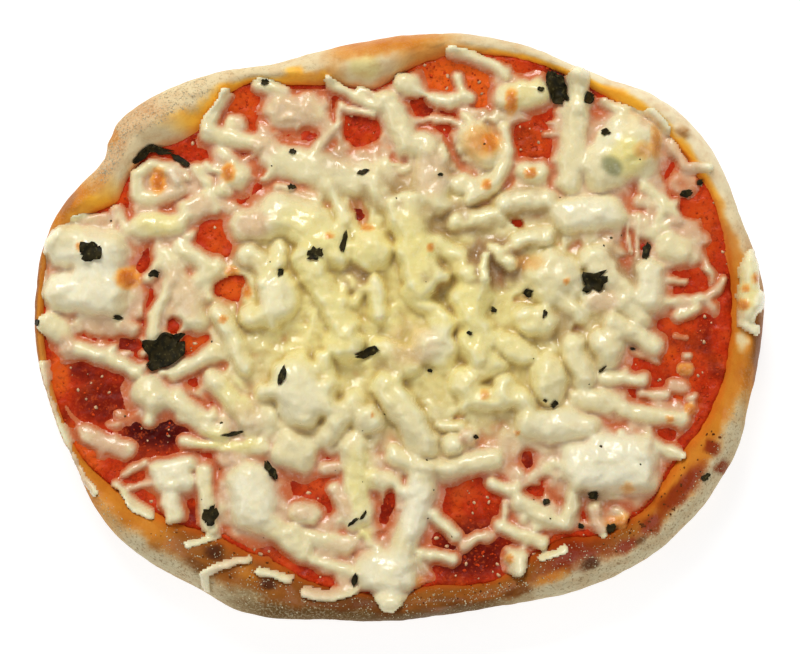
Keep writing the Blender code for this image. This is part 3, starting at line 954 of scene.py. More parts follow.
@dataclass
class Sauce:
    """The pool of sauce: granular pulp, deeper and oilier in places, with painted shade in its pits and in
    the pockets between the cheese.
    """

    step: float = 0.42
    # Pools of another tone, the darkest partly painted shade in the pockets between the cheese: middle x and
    # y, length, width, turn, tone, strength.
    pools: tuple[tuple[object, ...], ...] = (
        (-42.0, -17.5, 16.0, 11.0, 0.0, Tone.SAUCE_DARK_AND_SHADED, 1.0),
        (-51.0, -12.5, 13.0, 10.0, 0.0, Tone.SAUCE_DARK_AND_SHADED, 0.55),
        (-44.0, -24.0, 14.0, 12.0, 30.0, Tone.SAUCE_PULP, 0.35),
        (-58.5, -8.0, 5.0, 10.0, 0.0, Tone.SAUCE_ORANGE, 0.8),
        (-54.0, -21.0, 5.0, 14.0, 30.0, Tone.SAUCE_ORANGE, 0.8),
        (-29.0, 6.5, 6.0, 5.0, 0.0, Tone.SAUCE_ORANGE, 0.8),
        (-35.0, -3.0, 6.0, 5.0, 0.0, Tone.SAUCE_ORANGE, 0.8),
        (-31.5, -6.8, 4.5, 3.5, 0.0, Tone.SAUCE_DARK_AND_SHADED, 0.9),
        (-31.0, 15.5, 7.0, 8.0, 0.0, Tone.SAUCE_ORANGE, 0.4),
        (-27.0, 38.0, 8.0, 8.0, 0.0, Tone.SAUCE_ORANGE, 0.6),
        (-7.0, 20.5, 3.0, 8.0, 0.0, Tone.SAUCE_DARK_AND_SHADED, 0.6),
        (-0.3, 29.0, 4.0, 3.0, 0.0, Tone.SAUCE_DARK_AND_SHADED, 0.9),
        (9.5, 28.5, 4.0, 9.0, -20.0, Tone.SAUCE_DARK_AND_SHADED, 0.5),
        (27.0, 22.3, 4.0, 3.0, 0.0, Tone.SAUCE_DARK_AND_SHADED, 0.9),
        (22.5, 31.5, 9.0, 9.0, 0.0, Tone.SAUCE_ORANGE, 0.5),
        (12.0, 42.0, 28.0, 14.0, -6.0, Tone.SAUCE_ORANGE, 1.0),
        (27.0, 43.6, 6.0, 3.0, -20.0, Tone.SAUCE_DARK_AND_SHADED, 0.9),
        (39.2, 16.0, 3.0, 6.0, 0.0, Tone.SAUCE_DARK_AND_SHADED, 0.8),
        (30.0, 13.0, 4.0, 4.0, 0.0, Tone.SAUCE_ORANGE, 0.8),
        (31.0, 10.3, 3.0, 2.0, 0.0, Tone.SAUCE_ORANGE, 0.8),
        (22.0, 5.0, 7.0, 3.0, 0.0, Tone.SAUCE_DARK_AND_SHADED, 0.9),
        (51.0, 16.0, 10.0, 18.0, 0.0, Tone.SAUCE_ORANGE, 0.5),
        (48.0, -4.0, 12.0, 14.0, 0.0, Tone.SAUCE_ORANGE, 0.35),
        (49.5, -12.5, 7.0, 5.0, -30.0, Tone.SAUCE_ORANGE, 0.7),
        (28.0, -27.0, 4.0, 3.0, 0.0, Tone.SAUCE_ORANGE, 0.8),
        (10.3, -15.0, 3.0, 2.0, 0.0, Tone.SAUCE_ORANGE, 0.8),
        (11.0, -28.5, 8.0, 4.5, 0.0, Tone.SAUCE_PULP, 0.5),
        (-14.0, -26.5, 10.0, 8.0, 0.0, Tone.SAUCE_PULP, 0.5),
        (12.0, -38.0, 18.0, 14.0, 5.0, Tone.SAUCE_DARK_AND_SHADED, 0.7),
        (-22.0, -38.0, 14.0, 5.0, -26.0, Tone.SAUCE_ORANGE, 0.4),
        (38.0, -29.0, 10.0, 7.0, 0.0, Tone.SAUCE_ORANGE, 0.4),
    )

    def height(self, x: np.ndarray, y: np.ndarray) -> np.ndarray:
        """The sauce's top, or nan outside the dish.

        Args:
            x: Places along X.
            y: Places along Y.

        Returns:
            The height at each place.
        """
        over = Dough.over(x, y)
        inside = over < 0.9
        top = np.full(x.shape, np.nan)
        near_x, near_y = x[inside], y[inside]
        lumps = 0.30 * grain(near_x, near_y, 1.7, 2.0) + 0.18 * grain(near_x, near_y, 0.85, 6.0)
        swell = 0.24 * grain(near_x, near_y, 6.0, 1.0)
        edge = 0.4 * smooth_step(-3.0, 0.0, over[inside]) - 1.8 * smooth_step(0.15, 0.9, over[inside])
        top[inside] = SAUCE_TOP + lumps + swell + edge
        return top

    def build(self) -> bpy.types.Object:
        """Model the sauce and give it its tones.

        Returns:
            The sauce.
        """
        edit = Relief(self.step, DOUGH_FLOOR + 0.2).build(self.height, (62.0, 51.0))
        piece = finished(edit, "sauce_pool", SauceFinish().build())
        spots = mesh_places(piece.data)
        x, y, z = spots.T
        colours = painted(len(spots), Tone.SAUCE)
        paint(colours, smooth_step(0.05, 0.5, grain(x, y, 4.0, 12.0)) * 0.5, Tone.SAUCE_ORANGE)
        paint(colours, smooth_step(0.1, 0.6, grain(x, y, 5.0, 17.0)) * 0.5, Tone.SAUCE_DARK_AND_SHADED)
        for *oval, tone, strength in self.pools:
            paint(colours, smooth_step(0.0, 0.6, blob(x, y, tuple(oval))) * strength, tone)
        paint(colours, smooth_step(0.25, 0.55, z - SAUCE_TOP - 0.05) * 0.25, Tone.SAUCE_PULP)
        write_colours(piece.data, colours)
        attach(piece, "root")
        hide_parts("tomato_sauce")
        return piece


# Strands and lumps of melted cheese: width, height above what is below, then the points it runs
# through.  A lump is a short wide strand.
LEFT_CHEESE = (
    (8.8, 4.6, -57.0, 13.8, -50.0, 13.0), (8.4, 4.4, -57.4, 6.0, -49.6, 5.2),
    (9.4, 4.8, -52.4, 12.0, -50.4, 6.0), (5.2, 3.0, -44.2, 17.2, -38.0, 17.8),
    (3.2, 2.2, -44.8, 22.6, -45.0, 26.0, -42.0, 27.6, -38.6, 26.8, -37.6, 23.4, -41.0, 22.0, -44.6, 22.4),
    (2.6, 2.6, -39.4, 26.6, -37.8, 24.8), (6.0, 2.6, -59.8, 0.4, -58.4, -0.6),
    (3.4, 2.0, -57.0, -2.4, -57.0, -4.0), (3.4, 2.4, -56.0, -3.4, -49.5, -5.4, -45.2, -7.6),
    (3.2, 2.0, -47.4, 0.2, -45.8, -0.2), (4.6, 1.5, -52.4, 0.4, -49.0, 0.0),
    (3.0, 2.4, -39.0, 8.0, -42.0, 2.0, -42.2, -2.4), (4.6, 2.2, -40.0, 12.0, -37.0, 6.0, -35.0, 1.2),
    (1.8, 1.4, -43.9, -4.4, -43.1, -4.0), (1.8, 1.4, -44.4, -6.9, -43.6, -6.7),
    (6.8, 3.6, -43.2, -11.2, -42.0, -11.8), (3.4, 2.4, -41.0, -12.4, -36.2, -14.0),
    (2.8, 2.2, -42.4, -13.6, -43.0, -16.0), (3.2, 2.4, -39.0, -8.0, -35.6, -6.2, -32.0, -4.6),
    (4.2, 2.0, -38.0, -12.0, -34.0, -15.6, -31.0, -18.0),
    (3.0, 1.6, -61.2, -6.4, -60.4, -12.0, -57.8, -18.0), (4.2, 1.6, -53.6, -18.4, -46.8, -21.2),
    (1.4, 0.5, -57.0, -13.6, -54.4, -17.4), (2.8, 1.7, -57.4, -19.4, -55.4, -24.0, -52.2, -28.2),
    (2.0, 1.2, -48.2, -15.0, -47.8, -15.0), (4.4, 2.2, -36.6, 20.0, -32.4, 21.0),
    (3.0, 2.0, -33.0, 22.6, -30.6, 23.4), (3.0, 2.0, -34.6, 27.0, -32.8, 24.6),
    (3.0, 1.6, -48.6, 20.0, -46.4, 16.6), (2.6, 1.5, -55.0, 18.4, -50.4, 18.6),
    (3.4, 2.2, -37.6, 13.6, -33.4, 11.0), (2.8, 2.0, -34.8, 7.6, -31.2, 10.6),
)
LOWER_LEFT_CHEESE = (
    (1.5, 1.4, -47.2, -25.0, -43.4, -23.2), (1.7, 1.3, -46.3, -27.2, -42.9, -26.8),
    (3.8, 2.8, -41.4, -24.2, -36.0, -23.6), (5.0, 3.0, -40.4, -26.4, -37.0, -26.2),
    (4.0, 2.8, -39.2, -27.6, -38.8, -32.2), (3.5, 2.6, -33.4, -24.6, -33.2, -30.0, -32.6, -34.2),
    (2.5, 1.8, -48.4, -27.2, -45.8, -30.0, -42.8, -32.2),
    (2.2, 1.8, -33.0, -45.0, -33.4, -42.0, -30.0, -40.4, -26.0, -39.6),
    (9.4, 4.4, -25.6, -26.8, -24.6, -31.4), (4.4, 3.0, -23.0, -33.2, -16.6, -38.2),
    (2.7, 2.0, -37.0, -19.4, -30.0, -20.6, -23.0, -20.4), (3.0, 2.0, -37.0, -15.2, -30.2, -19.0),
    (3.2, 1.6, -30.2, -22.6, -27.6, -22.4), (2.4, 1.4, -36.0, -37.0, -31.4, -35.6),
)
BOTTOM_CHEESE = (
    (7.4, 3.4, -19.0, -21.2, -17.0, -21.8), (4.2, 2.8, -17.8, -31.6, -15.2, -32.0),
    (3.2, 2.2, -11.2, -27.6, -8.0, -34.0), (2.6, 1.6, -13.0, -24.0, -11.0, -24.0),
    (2.2, 1.8, -9.0, -25.0, -9.0, -28.0), (5.4, 2.8, -8.0, -20.0, -7.6, -26.0, -6.5, -32.0),
    (4.2, 2.8, -4.4, -26.0, -2.8, -26.2), (4.0, 2.4, -18.0, -35.0, -13.6, -36.4, -9.0, -37.2),
    (3.4, 0.8, -7.0, -35.0, -5.0, -36.0), (9.6, 3.8, -3.6, -41.6, -1.0, -41.8),
    (6.4, 3.0, -2.2, -43.0, -1.8, -46.0), (3.0, 2.2, -14.6, -40.0, -7.0, -42.0),
    (3.0, 1.8, -16.0, -45.2, -12.0, -45.8, -8.0, -45.0), (3.4, 1.6, -9.6, -43.0, -9.4, -43.0),
    (5.8, 3.6, 4.0, -24.4, 3.4, -30.0, 0.4, -37.6), (2.8, 2.4, 5.8, -32.0, 9.4, -35.8),
    (2.8, 2.2, 3.4, -38.8, 9.0, -39.6), (4.0, 2.8, -1.0, -22.0, 4.0, -23.4, 8.4, -24.0),
    (4.4, 3.0, 8.2, -24.4, 12.4, -23.2, 16.0, -22.6), (3.6, 3.0, 8.6, -20.0, 9.4, -20.0),
    (2.2, 2.0, 7.2, -17.0, 9.8, -17.0), (3.0, 2.2, 11.2, -18.6, 11.8, -19.0),
    (2.6, 1.8, -24.0, -41.6, -19.0, -42.8), (2.4, 1.6, 11.0, -37.4, 13.4, -35.6),
)
LOWER_RIGHT_CHEESE = (
    (3.0, 2.4, 15.8, -27.0, 19.2, -28.0), (3.8, 2.8, 20.4, -29.8, 26.4, -33.2),
    (3.2, 2.4, 17.2, -34.0, 24.2, -36.8), (1.6, 1.8, 18.0, -30.0, 18.0, -33.2),
    (3.2, 1.4, 14.7, -35.8, 14.9, -35.8), (3.8, 3.0, 19.4, -39.6, 20.6, -41.2),
    (3.4, 2.8, 19.6, -41.4, 20.8, -39.8), (1.4, 1.2, 18.2, -38.0, 18.8, -38.4),
    (3.6, 2.6, 30.0, -26.8, 29.4, -30.0, 28.0, -33.6), (2.8, 1.8, 33.0, -31.0, 34.5, -35.4),
    (8.6, 0.9, 35.8, -33.4, 36.2, -33.6), (2.0, 1.6, 37.0, -31.2, 38.8, -32.2, 38.2, -33.6),
    (10.6, 4.6, 31.6, -24.0, 39.0, -24.4), (6.0, 4.2, 34.0, -20.6, 41.0, -20.8),
    (5.0, 3.6, 41.6, -22.6, 42.0, -26.4), (3.0, 2.4, 42.0, -19.6, 47.8, -22.0),
    (3.8, 2.6, 38.0, -14.0, 43.0, -15.2, 48.0, -15.6), (2.0, 1.6, 41.4, -11.4, 45.4, -11.4),
    (3.0, 2.2, 35.0, -8.6, 41.6, -9.0), (1.8, 1.4, 49.4, -12.2, 50.4, -11.8),
    (1.8, 1.2, 49.2, -14.2, 49.8, -13.8), (3.4, 1.2, 46.8, -10.0, 48.2, -10.2),
    (2.4, 1.4, 24.0, -39.4, 28.0, -37.8), (2.8, 1.6, 22.6, -25.4, 26.4, -23.4),
)
RIGHT_CHEESE = (
    (5.8, 4.0, 43.0, 4.8, 42.6, 9.4), (2.0, 1.4, 45.0, 4.2, 51.8, 5.0, 54.4, 6.4, 55.2, 8.0),
    (5.0, 1.6, 40.6, 17.8, 45.0, 15.4, 50.0, 12.4), (5.6, 3.0, 45.6, 13.8, 47.6, 13.0),
    (3.0, 1.0, 45.2, 19.0, 52.0, 15.2), (1.6, 1.4, 45.6, 8.4, 48.8, 7.6),
    (4.0, 3.0, 36.4, 0.8, 40.0, -1.0, 43.6, -3.2), (6.4, 3.4, 35.2, -3.0, 35.8, -4.2),
    (4.4, 2.4, 33.0, 4.8, 36.4, 4.2), (5.0, 3.0, 33.2, 11.8, 37.6, 6.6, 41.0, 1.8),
    (1.4, 0.9, 40.0, -4.2, 44.0, -6.0), (5.0, 3.0, 59.2, 2.6, 59.6, 10.4),
    (3.0, 3.0, 61.2, 3.6, 61.4, 5.0), (2.6, 2.2, 58.2, 0.6, 60.4, -0.4),
    (2.2, 2.4, 59.2, 11.8, 60.2, 12.6), (1.8, 1.2, 48.6, -5.0, 49.4, -5.0),
    (2.4, 1.3, 48.4, -7.1, 49.2, -7.3), (1.4, 0.8, 47.0, -1.4, 49.2, -1.6),
    (1.3, 0.5, 53.0, 25.0, 55.2, 17.0, 55.9, 12.3), (0.9, 1.6, 38.5, 19.0, 39.5, 13.0),
    (0.8, 1.6, 40.8, 19.0, 40.5, 12.0), (2.8, 1.8, 47.4, 1.8, 50.6, 3.2),
    (3.0, 1.6, 41.0, 21.6, 44.6, 20.4),
)
UPPER_RIGHT_CHEESE = (
    (10.6, 4.6, 34.4, 27.4, 38.4, 31.8), (8.8, 4.4, 40.4, 29.4, 40.8, 31.8),
    (4.6, 3.2, 30.6, 43.0, 30.4, 38.0), (5.6, 3.2, 30.2, 37.4, 29.0, 25.0),
    (6.0, 3.2, 18.4, 39.2, 23.2, 40.0), (6.6, 3.8, 12.6, 32.6, 14.4, 30.0),
    (3.0, 2.4, 17.8, 34.0, 18.2, 28.4, 16.0, 24.4, 12.0, 22.0),
    (2.8, 2.4, 5.6, 39.0, 8.6, 38.6, 11.8, 39.2), (2.4, 2.2, 11.0, 39.6, 9.8, 42.6),
    (4.6, 2.8, 0.4, 42.0, 1.8, 41.8), (2.9, 2.2, 8.8, 47.2, 13.6, 45.8, 18.0, 43.4),
    (4.2, 2.6, 21.6, 26.5, 23.8, 26.5), (4.0, 2.6, 18.0, 21.4, 25.0, 22.0),
    (2.2, 2.0, 17.6, 22.0, 17.6, 20.6), (1.6, 1.4, 27.0, 36.8, 29.0, 36.8),
    (1.6, 1.4, 27.0, 34.2, 27.0, 35.2), (1.4, 1.2, 24.8, 33.0, 27.4, 33.0),
    (6.8, 3.4, 28.6, 19.4, 36.0, 19.6), (3.0, 2.0, 42.2, 24.0, 46.0, 20.2),
    (3.0, 1.8, 46.2, 31.2, 49.0, 27.6, 52.4, 27.0), (5.6, 1.0, 48.0, 24.6, 49.0, 24.4),
    (3.0, 1.8, 35.0, 38.6, 38.4, 36.8), (2.6, 1.6, 43.0, 36.6, 45.4, 33.6),
)
UPPER_LEFT_CHEESE = (
    (2.6, 2.2, -12.2, 42.0, -8.0, 39.6, -3.8, 37.6), (1.8, 1.8, -10.2, 37.8, -4.6, 36.3),
    (1.8, 1.8, -7.0, 40.7, -3.0, 39.0), (4.8, 3.2, -2.3, 38.8, 0.0, 34.6, 1.0, 31.4, 4.4, 31.4),
    (1.6, 1.4, -10.5, 34.6, -10.5, 37.0), (2.0, 1.6, -15.0, 29.6, -10.6, 34.8),
    (7.6, 2.0, -20.4, 37.0, -15.6, 37.2), (3.0, 2.2, -30.0, 39.8, -33.0, 34.2),
    (3.5, 2.4, -33.0, 33.2, -24.2, 31.2), (3.2, 1.8, -28.6, 35.0, -27.4, 35.0),
    (4.0, 1.6, -24.2, 31.0, -21.8, 31.0), (5.2, 2.8, -28.4, 26.2, -27.4, 25.8),
    (7.0, 2.2, -21.0, 29.0, -12.0, 26.6, -4.0, 25.0), (5.2, 2.4, -27.0, 17.6, -22.8, 17.6),
    (7.4, 2.8, -21.0, 19.6, -15.6, 17.4, -11.2, 13.4), (2.6, 2.0, -12.0, 24.0, -9.6, 18.2),
    (4.0, 2.4, -5.0, 25.0, -2.0, 21.2), (6.8, 2.8, 5.4, 29.0, 5.6, 22.6),
    (3.4, 2.2, 10.4, 24.4, 11.8, 23.6), (3.4, 2.2, 9.6, 18.2, 16.4, 18.8),
    (3.4, 1.8, -24.0, 41.6, -20.0, 40.4),
)
CENTRE_CHEESE = (
    (3.2, 2.6, -20.5, 13.6, -20.5, 11.2), (3.4, 2.4, -15.2, 10.0, -13.8, 10.0),
    (7.0, 3.4, -21.0, 6.4, -21.0, 3.6), (4.0, 2.6, -25.6, 2.0, -22.4, 2.0),
    (3.6, 2.6, -31.0, 2.0, -28.8, -2.0, -26.6, -6.4),
    (2.2, 1.8, -10.2, 6.2, -8.6, 8.0, -6.6, 6.4, -8.0, 4.2, -10.0, 5.4),
    (6.6, 3.0, -5.4, 13.2, -4.6, 12.8), (6.8, 3.6, 1.0, 19.6, 2.6, 14.0, 3.6, 8.4),
    (3.0, 2.8, 5.6, 10.0, 7.4, 9.0), (5.0, 3.0, -16.0, 12.0, -13.0, 6.0, -9.2, 0.2),
    (4.0, 2.8, -4.2, 7.0, -3.8, 3.2), (0.8, 1.2, -14.3, 2.3, -15.5, -1.3),
    (6.6, 3.2, -9.8, -3.0, -9.2, -3.0), (10.0, 4.2, -17.8, -10.0, -16.2, -12.4),
    (3.2, 2.8, -23.2, -11.0, -20.8, -11.0), (5.0, 3.0, -5.8, -15.8, -5.2, -16.2),
    (5.6, 3.4, -2.0, -10.0, 1.2, -15.0, 4.0, -20.0), (7.4, 3.0, 5.6, -3.0, 6.4, -3.0),
    (6.0, 3.2, 12.0, 8.8, 12.2, 2.0, 13.0, -3.8), (1.8, 3.4, 14.3, 8.2, 14.3, 11.8),
    (4.0, 2.8, 2.0, 6.0, 5.2, 3.0, 8.0, 0.2), (3.0, 2.4, 19.0, 14.0, 22.0, 15.4, 25.0, 15.4),
    (9.0, 3.0, 25.8, 8.6, 27.2, 8.4), (6.0, 2.8, 22.2, 1.0, 23.8, 1.0),
    (6.2, 3.2, 25.2, -7.8, 25.6, -10.4), (6.0, 3.6, 22.6, -16.8, 31.6, -17.0),
    (4.0, 2.8, -32.0, -9.2, -29.0, -12.4, -26.2, -16.0), (2.2, 2.0, -31.6, -9.5, -30.4, -9.5),
    (4.4, 2.6, 16.0, -6.0, 10.4, -9.4), (4.6, 2.8, 12.0, -12.0, 17.6, -12.4),
    (4.0, 2.6, 17.6, -9.8, 21.6, -13.6), (4.0, 2.6, 16.4, 12.8, 18.6, 11.4),
    (5.0, 2.6, -3.0, -4.0, 1.4, -6.6), (4.0, 2.6, -13.4, -5.8, -11.0, -16.4),
    (4.4, 2.6, -12.6, -18.6, -8.0, -13.0), (4.2, 2.4, 17.0, -2.6, 21.4, -4.6),
    (4.2, 2.6, 29.6, -3.6, 31.4, -8.8), (4.0, 2.4, -26.0, 12.6, -23.0, 9.8),
    (3.8, 2.2, 30.0, 2.4, 27.4, 4.6), (4.0, 2.6, 6.4, 14.0, 9.6, 12.2),
    (4.4, 2.4, -22.6, -15.4, -25.6, -17.6), (4.6, 2.4, 31.6, -12.0, 36.0, -13.0),
)
CHEESE_STRANDS = (
    *LEFT_CHEESE, *LOWER_LEFT_CHEESE, *BOTTOM_CHEESE, *LOWER_RIGHT_CHEESE, *RIGHT_CHEESE,
    *UPPER_RIGHT_CHEESE, *UPPER_LEFT_CHEESE, *CENTRE_CHEESE,
)
# Openings in the melted film where sauce shows: middle x and y, length, width, turn.
WINDOWS = (
    (-27.0, 38.0, 6.5, 6.5, 0.0), (-25.3, 34.3, 2.0, 3.5, 0.0), (-21.0, 31.0, 2.0, 3.5, 0.0),
    (-16.0, 32.0, 5.5, 4.5, 0.0), (-11.0, 38.0, 2.6, 6.5, 0.0), (-6.5, 34.0, 6.5, 6.5, 0.0),
    (-3.0, 39.0, 2.0, 3.0, 0.0), (-0.3, 29.0, 3.0, 2.4, 0.0), (3.2, 37.6, 6.0, 3.0, -10.0),
    (9.0, 44.0, 15.0, 7.5, 0.0), (13.5, 40.0, 4.4, 5.5, 0.0), (22.0, 44.5, 12.5, 3.6, -10.0),
    (28.0, 42.0, 2.0, 6.5, 0.0), (4.5, 34.0, 3.6, 2.0, 0.0), (8.6, 31.0, 1.8, 7.0, 22.0),
    (11.4, 27.0, 4.0, 1.8, -32.0), (22.4, 31.6, 9.0, 8.0, 0.0), (25.0, 37.0, 4.0, 4.0, 0.0),
    (18.6, 25.4, 1.9, 6.0, -20.0), (14.6, 21.6, 5.4, 1.8, 28.0), (19.2, 19.0, 5.6, 1.9, -42.0),
    (26.0, 25.5, 1.4, 4.4, 0.0), (27.0, 22.3, 3.2, 2.4, 0.0), (36.5, 38.0, 3.6, 2.4, 0.0),
    (45.5, 28.0, 2.9, 6.5, 0.0), (50.5, 21.6, 6.6, 6.6, 0.0), (54.0, 15.0, 4.2, 11.0, 8.0),
    (41.5, 21.3, 3.3, 2.7, 0.0), (39.2, 16.0, 2.3, 5.4, 0.0), (38.0, 10.5, 1.6, 2.9, 0.0),
    (27.0, 15.0, 1.8, 2.4, 0.0), (30.0, 13.0, 3.4, 3.2, 0.0), (31.0, 10.3, 2.4, 1.5, 0.0),
    (48.6, 7.8, 8.0, 4.8, 0.0), (47.0, -5.0, 15.0, 15.5, 0.0), (31.5, -1.8, 2.6, 5.6, 30.0),
    (22.0, 5.0, 5.8, 2.0, 0.0), (42.0, -6.5, 5.5, 5.5, 0.0), (41.5, -11.5, 3.0, 2.4, 0.0),
    (-24.5, 27.5, 4.0, 3.0, 0.0), (-25.5, 22.5, 5.4, 4.4, 0.0), (-31.0, 15.5, 7.6, 8.6, 0.0),
    (-29.0, 6.5, 6.4, 4.4, 0.0), (-27.3, 2.5, 1.8, 5.4, 0.0), (-7.0, 20.5, 2.6, 7.4, 15.0),
    (-12.5, 21.5, 1.8, 2.9, 0.0), (-42.5, 2.5, 2.8, 9.4, 10.0), (-46.0, -3.0, 4.6, 3.0, 0.0),
    (-53.5, -1.8, 4.6, 2.0, 0.0), (-38.5, 0.5, 2.4, 2.4, 0.0), (-35.0, -3.0, 5.4, 4.4, 0.0),
    (-31.5, -6.8, 3.9, 2.9, 0.0), (-39.0, -9.0, 5.0, 2.0, 25.0), (-34.5, -13.0, 5.0, 1.8, -40.0),
    (-53.0, -11.0, 15.0, 12.0, 0.0), (-40.6, -24.0, 20.0, 18.0, -25.0), (-54.0, -21.0, 4.0, 12.0, -28.0),
    (-14.5, -26.6, 13.6, 9.6, 0.0), (-30.0, -24.0, 3.6, 4.4, 0.0), (-23.4, -38.6, 18.0, 5.6, -26.0),
    (-1.7, -30.5, 2.0, 6.6, 0.0), (1.2, -26.0, 1.8, 1.8, 0.0), (12.4, -34.6, 15.6, 19.6, 0.0),
    (25.0, -36.6, 6.0, 3.0, -20.0), (23.0, -28.2, 3.4, 2.4, -20.0), (28.0, -27.0, 2.4, 2.4, 0.0),
    (32.0, -32.0, 3.0, 3.0, 0.0), (36.0, -30.5, 3.6, 2.4, 0.0), (10.3, -15.0, 2.2, 1.6, 0.0),
    (-6.0, -38.6, 5.0, 1.6, 10.0), (40.0, -31.0, 6.0, 5.0, 0.0), (0.0, -36.0, 9.0, 3.0, 0.0),
    (-47.6, 12.0, 1.2, 4.0, 0.0), (4.0, -44.0, 6.0, 3.0, 0.0), (-12.0, -43.6, 5.0, 1.6, 0.0),
    (47.0, 24.0, 3.0, 4.0, 0.0), (-50.0, 24.0, 3.0, 3.0, 0.0), (52.0, -5.0, 6.0, 16.0, 0.0),
    (-36.0, -30.0, 3.0, 8.0, 0.0), (34.0, 41.0, 6.0, 3.0, -30.0),
)


